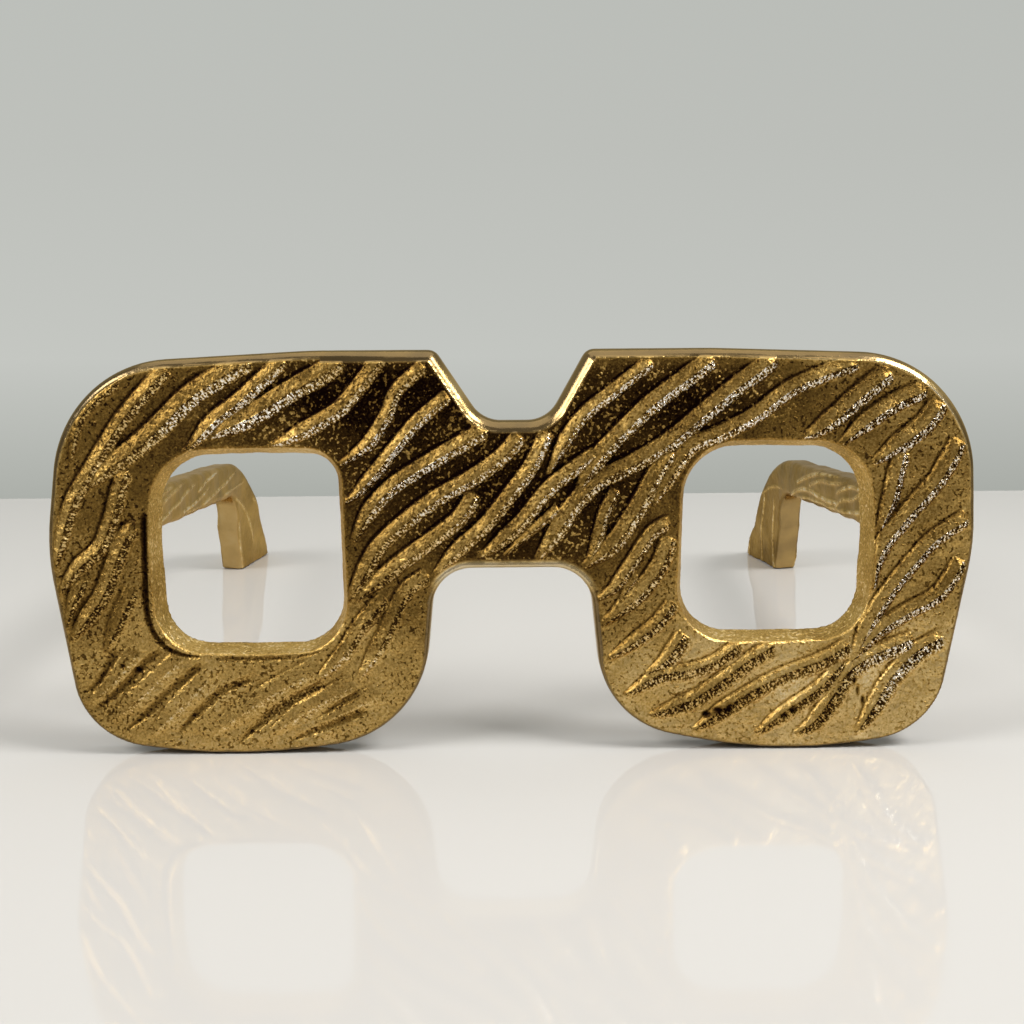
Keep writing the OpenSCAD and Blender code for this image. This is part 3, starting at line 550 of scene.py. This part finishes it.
# casting pits: x, height, half width, half height
PITS = [
    (-121.9, 28, 1.3, 0.8), (-127, 29.5, 0.8, 0.8), (63.5, 11.6, 1.4, 0.8), (67.2, 13, 1.8, 1.0),
    (70.8, 14, 0.9, 1.2), (88.9, 11.3, 1.1, 0.9), (91.7, 13.2, 0.9, 1.0), (111.9, 22.5, 0.5, 1.4),
    (113.2, 19.3, 0.5, 1.6), (114.9, 16, 0.5, 1.4),
]
print("ridges: %d, hollows: %d, pits: %d" % (len(RIDGES), len(HOLLOWS), len(PITS)))

# %% The height of the grain at any point of the face
# where the crest lies across a ridge, from -1 at its upper left foot to 1 at its lower right foot,
# and how far it moves to the upper left on the lower right rim
CREST, CREST_SHIFT = 0.12, 0.45
# a ridge rises from the face with a small step, and its width falls to this share at its last point
STEP, NARROW = 0.18, 0.42


def smooth_line(points, parts=5):
    """A curve through the points, with this many parts between two of them."""
    p = np.array([points[0]] + list(points) + [points[-1]], float)
    line = []
    for i in range(1, len(p) - 2):
        a, b, c, d = p[i - 1:i + 3]
        square, cube = 2 * a - 5 * b + 4 * c - d, 3 * b - a - 3 * c + d
        for f in np.arange(parts) / parts:
            line.append(0.5 * (2 * b + (c - a) * f + square * f**2 + cube * f**3))
    return np.array(line + [p[-1]])


def nearest_on(line, x, z):
    """Distance from a line, the side of it, the length along it, and its whole length."""
    best, side, at, run = np.full(len(x), 1e9), np.zeros(len(x)), np.zeros(len(x)), 0.0
    for a, b in zip(line[:-1], line[1:]):
        way, length = b - a, np.linalg.norm(b - a)
        dx, dz = x - a[0], z - a[1]
        t = np.clip((dx * way[0] + dz * way[1]) / length**2, 0, 1)
        off = np.hypot(dx - t * way[0], dz - t * way[1])
        closer = off < best
        best[closer] = off[closer]
        side[closer] = np.sign(dx * way[1] - dz * way[0])[closer] * (-1 if way.sum() < 0 else 1)
        at[closer] = (run + t * length)[closer]
        run += length
    return best, side, at, run


def grain(x, z, ridges):
    """Height, place across, place along, and groove at the foot, for each point.

    The place across is 0 at the crest and 1 at the lower foot.
    """
    height, across, along, foot = (np.zeros(len(x)) for _ in range(4))
    for number, (width, rise, points) in enumerate(ridges):
        line = smooth_line(points)
        low, high = line.min(0) - width, line.max(0) + width
        near = np.nonzero((x > low[0]) & (x < high[0]) & (z > low[1]) & (z < high[1]))[0]
        best, side, at, run = nearest_on(line, x[near], z[near])
        u = best * side / (width / 2 * (NARROW + (1 - NARROW) * ease(run - at, -1, 13)))
        lower_right = ease(50 - line[:, 1].mean(), 0, 20) * (line[:, 0].mean() > 0)
        crest = CREST - CREST_SHIFT * lower_right
        t = np.where(u < crest, (u + 1) / (1 + crest), (1 - u) / (1 - crest))
        end = np.minimum(np.clip(at / 2.5, 0, 1), np.clip((run - at) / 5, 0, 1)) ** 0.6
        # the upper left flank is the fuller one
        bulge = STEP + (1 - STEP) * np.clip(t, 0, 1) ** np.where(u < crest, 0.65, 0.9)
        here = np.where(t > 0, rise * bulge, 0) * (0.15 + 0.85 * end)
        over = here > height[near]
        height[near] = np.maximum(height[near], here)
        across[near[over]] = np.where(u < crest, u - crest, (u - crest) / (1 - crest))[over]
        along[near[over]] = at[over] + 40 * number
        groove = rise / 1.5 * end * np.exp(-(((u + 1.14) / 0.2) ** 2))
        foot[near] = np.maximum(foot[near], groove)
    return height, across, along, foot * (height < 0.3)


# %% Unevenness of the casting
rng = np.random.default_rng(7)


def lumps(co, size, count=26):
    """Soft lumps of about this size in mm, as a sum of waves in all directions."""
    total = np.zeros(len(co))
    for _ in range(count):
        way = rng.normal(size=3)
        way *= 2 * math.pi / (size * rng.uniform(0.7, 1.5)) / np.linalg.norm(way)
        total += np.sin(co @ way + rng.uniform(0, 6.3))
    return total / math.sqrt(count / 2)


def spot(x, z, cx, cz, rx, rz):
    """A soft spot that is 1 in its middle."""
    return np.exp(-(((x - cx) / rx) ** 2 + ((z - cz) / rz) ** 2))


def spots(x, z, rows):
    """A sum of soft spots, each with a strength, a middle, a half width and a half height."""
    return sum(strength * spot(x, z, *place) for strength, *place in rows)


def edge_distance(x, z, line):
    """Distance of each point from a closed line, and the number of the nearest corner."""
    best, which = np.full(len(x), 1e9), np.zeros(len(x), int)
    for i, (a, b) in enumerate(zip(line, np.roll(line, -1, 0))):
        way = b - a
        length = max(way @ way, 1e-9)
        t = np.clip(((x - a[0]) * way[0] + (z - a[1]) * way[1]) / length, 0, 1)
        off = np.hypot(x - a[0] - t * way[0], z - a[1] - t * way[1])
        closer = off < best
        best[closer], which[closer] = off[closer], i
    return best, which


# %% Helpers to read and keep a mesh
def points_of(mesh):
    """Places in mm and normals, one row for each point."""
    co, nor = np.empty(len(mesh.vertices) * 3), np.empty(len(mesh.vertices) * 3)
    mesh.vertices.foreach_get("co", co)
    mesh.vertex_normals.foreach_get("vector", nor)
    return co.reshape(-1, 3) * 1000, nor.reshape(-1, 3)


def keep_points(mesh, co):
    """The carved places, taken to the table, where the foot is ground off level."""
    mesh.vertices.foreach_set("co", (co / 1000).ravel())
    mesh.transform(ON_TABLE)
    for v in mesh.vertices:
        v.co.z = max(v.co.z, 0)


def keep_values(mesh, values):
    for name, value in values.items():
        layer = mesh.attributes.new(name, "FLOAT", "POINT")
        layer.data.foreach_set("value", np.asarray(value, np.float32))


def dressed(name, mesh, brass):
    mesh.materials.clear()
    mesh.materials.append(brass)
    for polygon in mesh.polygons:
        polygon.use_smooth = True
    return linked(name, mesh)


# %% Carve the face
co, nor = points_of(front_mesh)
n = len(co)
x, y, z = co.T
facing = ease(-nor[:, 1], 0.5, 0.9) * (y < 2.5)
rim, which = edge_distance(x, z, front_line)
crease = rim_size[which]
left_lip, _ = edge_distance(x, z, left_line)
right_lip, _ = edge_distance(x, z, right_line)
lip = np.minimum(left_lip, right_lip)
height, across, along, foot = grain(x, z, RIDGES)
# 1 on the face within the crease, where the sand's print and the grain are
inside = facing * ease(rim - crease, 0.1, 0.7)
# under the bridge a smooth band is left, and the ridges run out into it
under = ease(-front_out[which][:, 1], 0.2, 0.7) * ease(42 - np.abs(x), 0, 8) * ease(z, 44, 54)
inside *= 1 - under * (1 - ease(rim - crease, 0.8, 2.4))
hollow = grain(x, z, HOLLOWS)[0] * inside
pit = sum(spot(x, z, *p) for p in PITS) * inside
height *= inside * (1 + 0.2 * ease(z, 25, 60))
foot *= inside * ease(rim - crease, 1, 3)
# a fine raised line just within the crease, along the brow
bead = 0.22 * np.exp(-(((rim - crease - 0.35) / 0.35) ** 2)) * facing * ease(z, 60, 110)
behind = ease(nor[:, 1], 0.5, 0.9)
# how much of the sand's print is left: little on the polished edge
grit = np.maximum(np.maximum(0.1 + 0.9 * inside, ease(lip, 6, 3)), 0.8 * behind)
uneven = 0.14 * lumps(co, 7) + 0.05 * lumps(co, 2.5) + 0.035 * rng.normal(size=n)
co[:, 1] -= height + bead - 0.3 * foot - hollow - 0.7 * pit
co += nor * ((np.minimum(uneven, 0.12) - 0.12) * grit * (0.4 + 0.6 * facing))[:, None]
# a hair smaller, so that it stays inside the CAD model
SHRINK = 0.9998
co *= SHRINK
keep_points(front_mesh, co)
print("highest ridge %.2f mm" % height.max())

# %% [markdown]
# ## Tones of the old casting, with painted light and shade
# The face is not one colour. Between the ridges round the bridge it is nearly black-brown, from
# patina and from a painted dark reflection of the room in front, the upper left is olive-brown,
# and the lower rims are light tan gold, partly a painted reflection of the table. The tone is
# worked out for each point from where it is and how high it lies, and it paints light and shade
# on the ridges: lit upper flanks, shaded lower flanks and dark grooves. The material turns it into
# colours. A tone of 0 is the black-brown and 1.3 is nearly white. Glint is the share of painted
# highlights, bright strokes, and speck is the strength of the sand's beads, light above 0 and dark
# below it.

# %% Where the patina with a painted dark reflection, and the painted shine lie: strength, x, height, half width, half height in mm
DARK = [
    (1.0, 0, 88, 62, 38), (0.75, -50, 118, 40, 16), (0.7, 60, 116, 45, 14),
    (0.42, -110, 100, 45, 40), (0.25, 125, 85, 30, 40), (0.2, -140, 60, 16, 40),
]
SHINE = [
    (1.0, 75, 116, 50, 18), (1.0, -35, 95, 22, 16), (1.0, -85, 110, 25, 12), (1.0, 130, 60, 20, 50),
    (0.25, 45, 40, 22, 32), (0.3, 22, 90, 30, 20), (0.3, 130, 100, 25, 20),
]
LIT_EDGE = [(1.0, -17, 120, 7, 10), (1.0, 136, 116, 13, 12)]
# tones of the bare field, of a ridge's lit crest and upper flank, and of its lower flank in painted
# shade
FIELD_TONE, LIT_CREST_TONE, SHADED_FLANK_TONE = 0.72, 0.6, 0.2
# tones of the polished edge, of the openings' walls and of the back
EDGE_TONE, WALL_TONE, BACK_TONE = 0.42, 0.68, 0.44
print("dark spots: %d, shining spots: %d" % (len(DARK), len(SHINE)))

# %% Tone of each point
# dark patina together with a painted dark reflection of the room in front
dark = np.clip(spots(x, z, DARK), 0, 1)
strong = ease(height + 0.1 * rng.normal(size=n), 0.25, 0.8)
# the low swells of the lower left have the tone of the field
swell = ease(36 - z, 0, 6) * (x < -40)
on_ridge = ease(height, 0.08, 0.35) * (1 - 0.85 * swell)
# painted reflection of the white table: the lower right of the face is lighter
low_right = spot(x, z, 105, 15, 65, 38)
field = FIELD_TONE - 0.70 * dark + 0.16 * low_right
flank = ease(across, -0.06, 0.08)
# painted light and shade on the ridges: the upper flank is lit and darker towards its foot, the
# lower flank is shaded
shade_near_foot = (1 - ease(height, 0.5, 1.4)) * (1 - low_right)
lit_upper_tone = LIT_CREST_TONE - 0.05 * dark - 0.14 * shade_near_foot + 0.14 * low_right
lit_upper_tone -= 0.06 * spot(x, z, -115, 105, 40, 25)
shaded_lower_tone = field * (1 - strong) + (SHADED_FLANK_TONE + 0.2 * ease(dark, 0.2, 0.6)) * strong
# a painted dark line of shade follows the crest, where the lower flank begins
line = np.exp(-(((across - 0.08) / 0.08) ** 2)) * strong
face = field * (1 - on_ridge) + on_ridge * (lit_upper_tone * (1 - flank) + shaded_lower_tone * flank - 0.16 * line)
# painted shade: the grooves at the ridges' feet and the hollows are darker, and so are the pits
face -= 0.35 * foot + 0.62 * hollow + 0.7 * pit
wall_of_hole = (lip < 3) * (1 - facing) * (1 - behind)
# painted highlights on the rim at the notch's left slope and at the upper right corner; the rim is
# a little darker at the upper left corner
edge = EDGE_TONE + 0.45 * spots(x, z, LIT_EDGE) - 0.12 * spot(x, z, -135, 116, 22, 20)
# painted reflection: the smooth band under the bridge is lighter, as if it caught the light of the
# table below
edge += 0.6 * under * (y < 7)
edge = np.where(lip < 3, WALL_TONE, edge) * (1 - behind) + BACK_TONE * behind
tone = face * inside + (1 - inside) * edge
# painted highlight: the fine raised line along the brow is lighter
tone += 2 * bead * (1 - 0.6 * dark) + 0.03 * lumps(co, 25)
# painted highlights: bright strokes on the lower flanks, strongest in the shining spots and in one
# hollow
glint = flank * strong * inside * (0.5 + 0.95 * np.minimum(spots(x, z, SHINE), 1))
glint += 0.5 * hollow * spot(x, z, -75, 20, 20, 14)
speck = (1.7 * ease(dark, 0.35, 0.7) - 0.7 + 0.2 * low_right) * inside * (1 - on_ridge)
speck += 0.5 * wall_of_hole - 0.45 * on_ridge * (1 - flank) * inside
WORDS = ("tone", "grit", "glint", "speck", "along", "across")
kept = (tone, grit, glint, speck, along, across * on_ridge)
keep_values(front_mesh, dict(zip(WORDS, kept)))
print("tone from %.2f to %.2f" % (tone.min(), tone.max()))

# %% [markdown]
# ## Sand-cast brass
# Brass poured in sand keeps the print of the grains, about half a millimetre to one across. The
# high spots are rubbed bright and the hollows hold brown patina, and the tone that the material
# reads also holds painted light and shade and painted glints. It is a metal with its default
# IOR, so its colour is its reflection. The skin comes from noise at the size of the sand grains,
# which moves the tone, the roughness and the bump together.

# %% Sand-cast brass
# the tone at the last stop of the colours
TOP = 1.3
# sizes in mm: of the clouds of the patina, and of the beads that the sand left
CLOUD, BEAD = 9.0, 1.15
SOFT = {"Detail": 2.0, "Roughness": 0.6}
SMOOTH = {"interpolation_type": "SMOOTHSTEP"}
# most of a noise lies between these values
MOST = {1: 0.3, 2: 0.7}
ADD, TIMES, TIMES_ADD = ({"operation": word} for word in ("ADD", "MULTIPLY", "MULTIPLY_ADD"))


def sand_cast(name, stops, grain_mm=0.75, contrast=0.12, bump_mm=0.24):
    material, tree = new_material(name)
    place = {"Vector": add(tree, "ShaderNodeTexCoord").outputs["Object"]}
    tone, grit, glint, speck, along, across = (
        add(tree, "ShaderNodeAttribute", {"attribute_name": word}).outputs["Fac"] for word in WORDS
    )
    sand = add(tree, "ShaderNodeTexNoise", {"Scale": 1000 / grain_mm, **SOFT}, place).outputs[0]
    cloud = add(tree, "ShaderNodeTexNoise", {"Scale": 1000 / CLOUD, **SOFT}, place).outputs[0]
    coarse = {"Scale": 1000 / BEAD, "Detail": 1.0}
    beads = add(tree, "ShaderNodeTexNoise", coarse, place).outputs[0]
    # the beads crowd together in some places, as sand does
    crowd = add(tree, "ShaderNodeMath", {**TIMES_ADD, 1: 0.3, 2: -0.15}, {0: cloud}).outputs[0]
    beads = add(tree, "ShaderNodeMath", ADD, {0: beads, 1: crowd}).outputs[0]
    beads = add(tree, "ShaderNodeMapRange", {**SMOOTH, 1: 0.56, 2: 0.68}, {0: beads}).outputs[0]
    # light beads stand on the dark field, and dark pits lie in the light one
    dots = add(tree, "ShaderNodeMath", TIMES, {0: beads, 1: speck}).outputs[0]
    both_ways = {**MOST, 3: -contrast, 4: contrast}
    even = add(tree, "ShaderNodeMapRange", both_ways, {0: sand}).outputs[0]
    change = add(tree, "ShaderNodeMath", {**TIMES_ADD, 1: 0.46}, {0: dots, 2: even}).outputs[0]
    # painted highlights: short bright strokes lie across the lower flank of a ridge, as glints of
    # light
    combed = add(tree, "ShaderNodeCombineXYZ", links={0: along, 1: across}).outputs[0]
    strokes = add(tree, "ShaderNodeTexNoise", {"Scale": 1.5, **SOFT}, {"Vector": combed}).outputs[0]
    strokes = add(tree, "ShaderNodeMath", ADD, {0: strokes, 1: sand}).outputs[0]
    bright = {**SMOOTH, 1: 0.93, 2: 1.15, 3: -0.05, 4: 1.0}
    strokes = add(tree, "ShaderNodeMapRange", bright, {0: strokes}).outputs[0]
    change = add(tree, "ShaderNodeMath", TIMES_ADD, {0: strokes, 1: glint, 2: change}).outputs[0]
    # the patina drifts from place to place
    drift = add(tree, "ShaderNodeMapRange", {**MOST, 3: -0.05, 4: 0.05}, {0: cloud}).outputs[0]
    drift = add(tree, "ShaderNodeMath", ADD, {0: tone, 1: drift}).outputs[0]
    total = add(tree, "ShaderNodeMath", TIMES_ADD, {0: change, 1: grit, 2: drift}).outputs[0]
    share = {"operation": "DIVIDE", 1: TOP, "use_clamp": True}
    total = add(tree, "ShaderNodeMath", share, {0: total}).outputs[0]
    colour = add(tree, "ShaderNodeValToRGB", links={0: total})
    set_ramp(colour, stops)
    # where the sand's print is rubbed away the brass looks greyer
    rubbed = add(tree, "ShaderNodeMapRange", {3: 0.45, 4: 0.0}, {0: grit}).outputs[0]
    grey = {"data_type": "RGBA", 7: linear("#97886b")}
    colour = add(tree, "ShaderNodeMix", grey, {0: rubbed, 6: colour.outputs[0]}).outputs[2]
    # the rubbed rim is the smoothest, and the glittering flanks are smoother than the field
    rough = add(tree, "ShaderNodeMapRange", {3: 0.2, 4: 0.4}, {0: grit}).outputs[0]
    rough = add(tree, "ShaderNodeMath", {**TIMES_ADD, 1: -0.2}, {0: glint, 2: rough}).outputs[0]
    # the bumps are deepest where the strokes are
    deep = add(tree, "ShaderNodeMath", {**TIMES_ADD, 1: 0.5}, {0: beads, 2: sand}).outputs[0]
    more = add(tree, "ShaderNodeMath", TIMES_ADD, {0: glint, 1: grit, 2: grit}).outputs[0]
    deep = add(tree, "ShaderNodeMath", TIMES, {0: deep, 1: more}).outputs[0]
    depth = {"Strength": 0.8, "Distance": bump_mm / 1000}
    bump = add(tree, "ShaderNodeBump", depth, {"Height": deep}).outputs[0]
    metal = {"Metallic": 1.0, "Specular Tint": linear("#f3e3c6")}
    skin = {"Base Color": colour, "Roughness": rough, "Normal": bump}
    brass = add(tree, "ShaderNodeBsdfPrincipled", metal, skin)
    add(tree, "ShaderNodeOutputMaterial", links={"Surface": brass.outputs[0]})
    return material


# the last stops run to nearly white for the painted glints
BRASS_TONES = [
    (0.0, "#150906"), (0.19, "#473216"), (0.38, "#8a6b33"), (0.55, "#cba75f"), (0.72, "#ecd093"),
    (1.0, "#fffaf0"),
]
face_brass = sand_cast("sand_cast_brass_patina_painted_shade", BRASS_TONES)
front = dressed("cast_front", front_mesh, face_brass)
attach(front, "front")
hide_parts("frame_front")
print("front dressed:", front.name)

# %% [markdown]
# ## The temples
# Each temple is a casting too: a bar leaves the hinge, swells through a bend and goes down to the
# table as a deeper leg, whose back edge turns inwards. Sections stand along a middle line, each
# with its own slope, height and turn, and a skin is drawn over them. The leg's skin is ruled, so
# its last ring is found exactly where it meets the table. Cutters then make room for the hinge.
# Both are made on the right, with their own lengths and lines, and the left one is then mirrored.

# %% Sections along a temple
TEMPLE_W, TEMPLE_H, LEG_H, TIP_H, EDGE_R = 12.5, 17.5, 30.0, 36.0, 3.0
BEND_R, BEND, TOE_IN, TIPS_IN = 45.0, math.radians(56), math.radians(13), 2.0
# the middle of a temple at the hinge, where its bar begins, and where its leaf ends
TEMPLE_X, START_Y, CLASP_Y = 143.25, 12.8, 57.3
BAR_LEN = {-1: 204.0, 1: 194.0}


def section(height):
    a, b = TEMPLE_W / 2, height / 2
    return outline([(a, -b, EDGE_R), (a, b, EDGE_R), (-a, b, EDGE_R), (-a, -b, EDGE_R)])[0]


def temple_ring(y, z, slope, height, twist, bend_y):
    q = section(height)
    across = q[:, 0] * math.cos(twist) - q[:, 1] * math.sin(twist)
    up = q[:, 0] * math.sin(twist) + q[:, 1] * math.cos(twist)
    inward = TIPS_IN * max(0, y - CLASP_Y) / (bend_y - CLASP_Y)
    points = [TEMPLE_X + across - inward, y + up * math.sin(slope), z + up * math.cos(slope)]
    return np.stack(points, 1)


def table_height(q):
    """Height over the table of points that are given in the leaning frame."""
    return q[:, 2] * math.cos(LEAN) - (q[:, 1] - STAND_Y) * math.sin(LEAN) - GROUND_OFF


def temple_rings(side):
    bend_y = HINGE[1] + BAR_LEN[side]
    end_y = bend_y + BEND_R * math.sin(BEND)
    end_z = HINGE[2] - BEND_R * (1 - math.cos(BEND))
    down = math.tan(BEND)
    leg_y = (end_y + (end_z + STAND_Y * math.tan(LEAN)) / down) / (1 + math.tan(LEAN) / down)
    rings = [temple_ring(y, HINGE[2], 0, TEMPLE_H, 0, bend_y) for y in (START_Y, CLASP_Y)]
    for part in np.linspace(0, 1, 33):
        a = BEND * part
        place = (bend_y + BEND_R * math.sin(a), HINGE[2] - BEND_R * (1 - math.cos(a)))
        height = TEMPLE_H + (LEG_H - TEMPLE_H) * part**2
        rings.append(temple_ring(*place, a, height, TOE_IN * part, bend_y))
    top = rings[-1]
    tip = temple_ring(leg_y, end_z - (leg_y - end_y) * down, BEND, TIP_H, TOE_IN, bend_y)
    reach = table_height(top) / (table_height(top) - table_height(tip))
    return rings + [top + (tip - top) * reach[:, None] * f for f in (0.25, 0.5, 0.75, 1)]


def closed_tube(rings, name):
    n = len(rings[0])
    faces = [list(range(n - 1, -1, -1)), [(len(rings) - 1) * n + i for i in range(n)]]
    for low in range(0, (len(rings) - 1) * n, n):
        for i in range(n):
            k = (i + 1) % n
            faces.append([low + i, low + k, low + n + k, low + n + i])
    mesh = bpy.data.meshes.new(name)
    mesh.from_pydata([tuple(v / 1000) for ring in rings for v in ring], [], faces)
    return mesh


print("rings of a temple:", len(temple_rings(1)))

# %% Room for the hinge
# the tang is the leaf let into the temple: its thickness, height and length
BARREL_R, RUN_GAP, TANG = 4.5, 0.3, (3.0, 12.0, 36.0)
CLEAR_R = math.hypot(BARREL_R, BARREL_R + RUN_GAP) + RUN_GAP


def block(low, high):
    return box_mesh("cutter", [c / 1000 for c in low], [c / 1000 for c in high])


def hinge_cutters():
    x, y, z = HINGE
    angles = np.arange(48) * math.tau / 48
    turn = [(x + CLEAR_R * math.cos(a), y + CLEAR_R * math.sin(a)) for a in angles]
    rings = [np.array([(u, v, h) for u, v in turn]) for h in (z - 20, z + 20)]
    tang_low = (x - BARREL_R - 1, y, z - TANG[1] / 2)
    tang_high = (x - BARREL_R + TANG[0], y + TANG[2], z + TANG[1] / 2)
    return [
        linked("cutter", closed_tube(rings, "round_cut")),
        block((x - 14, START_Y - 1, z - 20), (x, START_Y - 1 + CLEAR_R, z + 20)),
        block(tang_low, tang_high),
    ]


def temple_blank(side):
    rough = linked("rough", closed_tube(temple_rings(side), "temple_blank"))
    cutters = hinge_cutters()
    for cutter in cutters:
        cut = rough.modifiers.new("cut", "BOOLEAN")
        cut.operation, cut.solver, cut.object = "DIFFERENCE", "EXACT", cutter
    made = applied(rough)
    for cutter in cutters:
        bpy.data.objects.remove(cutter)
    return remeshed(made)


print("room round the barrels: %.2f mm" % CLEAR_R)

# %% [markdown]
# ## Grain on the temples
# The sides of the temples carry a shallower grain: long wavy lines that rise towards the back,
# and upright furrows down the leg. They are drawn with the same ridges as the face, as points of
# distance from the face and height. The front side of each leg was filed smooth.

# %% The lines on the temples: width, height, points (from the face, up)
LEFT_LINES = [
    (1.7, 0.5, [(86, 64.3), (95, 66.8), (108, 69), (123, 71.9), (136, 74.5), (151, 76.4)]),
    (1.7, 0.45, [(154, 72.6), (168, 75.6), (181, 77.4), (194, 78.6)]),
    (1.6, 0.45, [(126, 66.4), (146, 67.9), (164, 70.7), (174, 73)]),
    (1.8, 0.5, [(162, 66), (184, 68.8), (202, 70.9), (214, 72.8), (230, 75.8)]),
    (1.5, 0.3, [(204, 66.5), (232, 67.8), (248, 69)]),
    (1.5, 0.3, [(132, 65), (142, 65.5), (158, 65.2)]),
    (2.5, 0.3, [(40, 66), (60, 70), (88, 76), (112, 78.6)]),
    (2.5, 0.3, [(30, 71), (52, 75), (74, 78.5)]),
    (2.2, 0.3, [(60, 64.6), (78, 70), (104, 75), (130, 78.4)]),
    (2.5, 0.25, [(234, 62), (250, 56), (262, 46), (270, 34)]),
    (2.5, 0.25, [(262, 60), (275, 52), (285, 40), (292, 28)]),
    (2.5, 0.25, [(246, 50), (252, 37), (258, 24), (264, 10)]),
]
RIGHT_LINES = [
    (2.2, 0.45, [(190, 71.5), (175, 74.8), (158, 77.8), (139, 79.4), (120, 79.9)]),
    (2.4, 0.5, [(205, 62.5), (196, 65.9), (180, 69.2), (163, 69.6), (148, 68.5), (131, 68),
                (115, 69.2)]),
    (2.0, 0.45, [(122, 72.8), (111, 75.4), (100, 77.1), (88, 76.8), (70, 75)]),
    (2.0, 0.4, [(84, 75.5), (89, 74.6), (100, 71.9), (112, 70.8), (121, 67.8), (128, 64.5)]),
    (2.0, 0.4, [(192, 63.4), (174, 65.6), (148, 65.9), (123, 65.5), (96, 67), (74, 70)]),
    (2.0, 0.35, [(168, 71.6), (160, 73.5), (145, 75.8), (124, 76.4), (108, 78.5)]),
    (2.4, 0.35, [(70, 66), (56, 69), (40, 74)]),
    (2.2, 0.4, [(238, 59), (243, 48), (247, 37), (250, 22), (252, 8)]),
    (2.2, 0.4, [(252, 60), (256, 50), (261, 40), (265, 26), (268, 10)]),
    (2.2, 0.4, [(262, 60), (270, 50), (276, 38), (281, 24), (284, 8)]),
    (1.8, 0.3, [(272, 57), (280, 44), (287, 30), (292, 14)]),
    (2.0, 0.3, [(222, 66), (240, 65), (256, 60)]),
]
print("lines on the temples:", len(LEFT_LINES) + len(RIGHT_LINES))

# %% Carve the temples
# the skin is sunk by the height of the highest line, so that the piece stays inside the CAD model
SUNK = 0.5


def carved_temple(side):
    mesh = temple_blank(side)
    co, nor = points_of(mesh)
    _, y, z = co.T
    forwards = nor @ np.array([0, -math.sin(BEND), -math.cos(BEND)])
    filed = ease(forwards, 0.6, 0.85) * ease(y, 190, 215)
    # next to the hinge the casting keeps its exact size
    back_off = ease(y, CLASP_Y - 3, CLASP_Y + 6)
    height = grain(y, z, LEFT_LINES if side < 0 else RIGHT_LINES)[0]
    height *= ease(np.abs(nor[:, 0]), 0.5, 0.85) * back_off
    uneven = 0.16 * lumps(co, 22) + 0.03 * lumps(co, 6)
    skin = 0.04 * rng.normal(size=len(co)) * (1 - filed)
    swell = np.minimum(uneven * (1 - 0.7 * filed) + skin, SUNK)
    co += nor * ((height - SUNK + swell) * back_off)[:, None]
    # painted light: the left temple is lighter than the right one, where the window at the right
    # lights its inner side
    tone = (0.62 if side < 0 else 0.52) + 0.025 * lumps(co, 16)
    # painted reflection and highlights: the filed front of the leg and the raised lines are
    # lighter, and the lines carry painted glints
    tone += 0.1 * filed + 0.7 * height * (1 + 0.5 * lumps(co, 4))
    keep_values(mesh, {"tone": tone, "grit": 0.55 * (1 - 0.85 * filed), "glint": height})
    if side < 0:
        co[:, 0] *= -1
        mesh.flip_normals()
    keep_points(mesh, co)
    return mesh


satin = {"grain_mm": 1.2, "contrast": 0.05, "bump_mm": 0.08}
temple_brass = sand_cast("cast_brass_satin_rubbed_painted_light", BRASS_TONES, **satin)
for side, word in ((-1, "left"), (1, "right")):
    mesh = carved_temple(side)
    temple = dressed(word + "_cast_temple", mesh, temple_brass)
    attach(temple, word + "_temple")
    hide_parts(word + "_temple")
    print(temple.name, len(mesh.vertices), "points")

# %% [markdown]
# ## Hinges
# The hinges are turned and milled brass, hidden behind the front. Their CAD solids are right, so
# they only need a finish: fine marks from the tool, and a tint that varies a little.

# %% Machined brass for the hinges
def machined(name, colour, rough):
    material, tree = new_material(name)
    place = add(tree, "ShaderNodeTexCoord")
    # marks of the tool, 2.5 mm long and 0.17 mm wide
    fine = {"Scale": (400, 400, 6000)}
    stretch = add(tree, "ShaderNodeMapping", fine, {"Vector": place.outputs["Object"]})
    noise = {"Scale": 1.0, "Detail": 2.0}
    marks = add(tree, "ShaderNodeTexNoise", noise, {"Vector": stretch.outputs[0]})
    tint = add(tree, "ShaderNodeValToRGB", links={0: marks.outputs[0]})
    set_ramp(tint, [(0.3, colour), (0.7, "#d3b26a")])
    depth = {"Strength": 0.3, "Distance": 0.00005}
    bump = add(tree, "ShaderNodeBump", depth, {"Height": marks.outputs[0]})
    finish = {"Metallic": 1.0, "Roughness": rough}
    links = {"Base Color": tint.outputs[0], "Normal": bump.outputs[0]}
    metal = add(tree, "ShaderNodeBsdfPrincipled", finish, links)
    add(tree, "ShaderNodeOutputMaterial", links={"Surface": metal.outputs[0]})
    return material


hinge_brass = machined("machined_brass_brushed", "#a8853f", 0.3)
hinge_nodes = [name for name in nodes if "leaf" in name or "hinge" in name]
for name in hinge_nodes:
    for place in nodes[name].material_slots:
        place.material = hinge_brass
print("hinge pieces:", len(hinge_nodes))
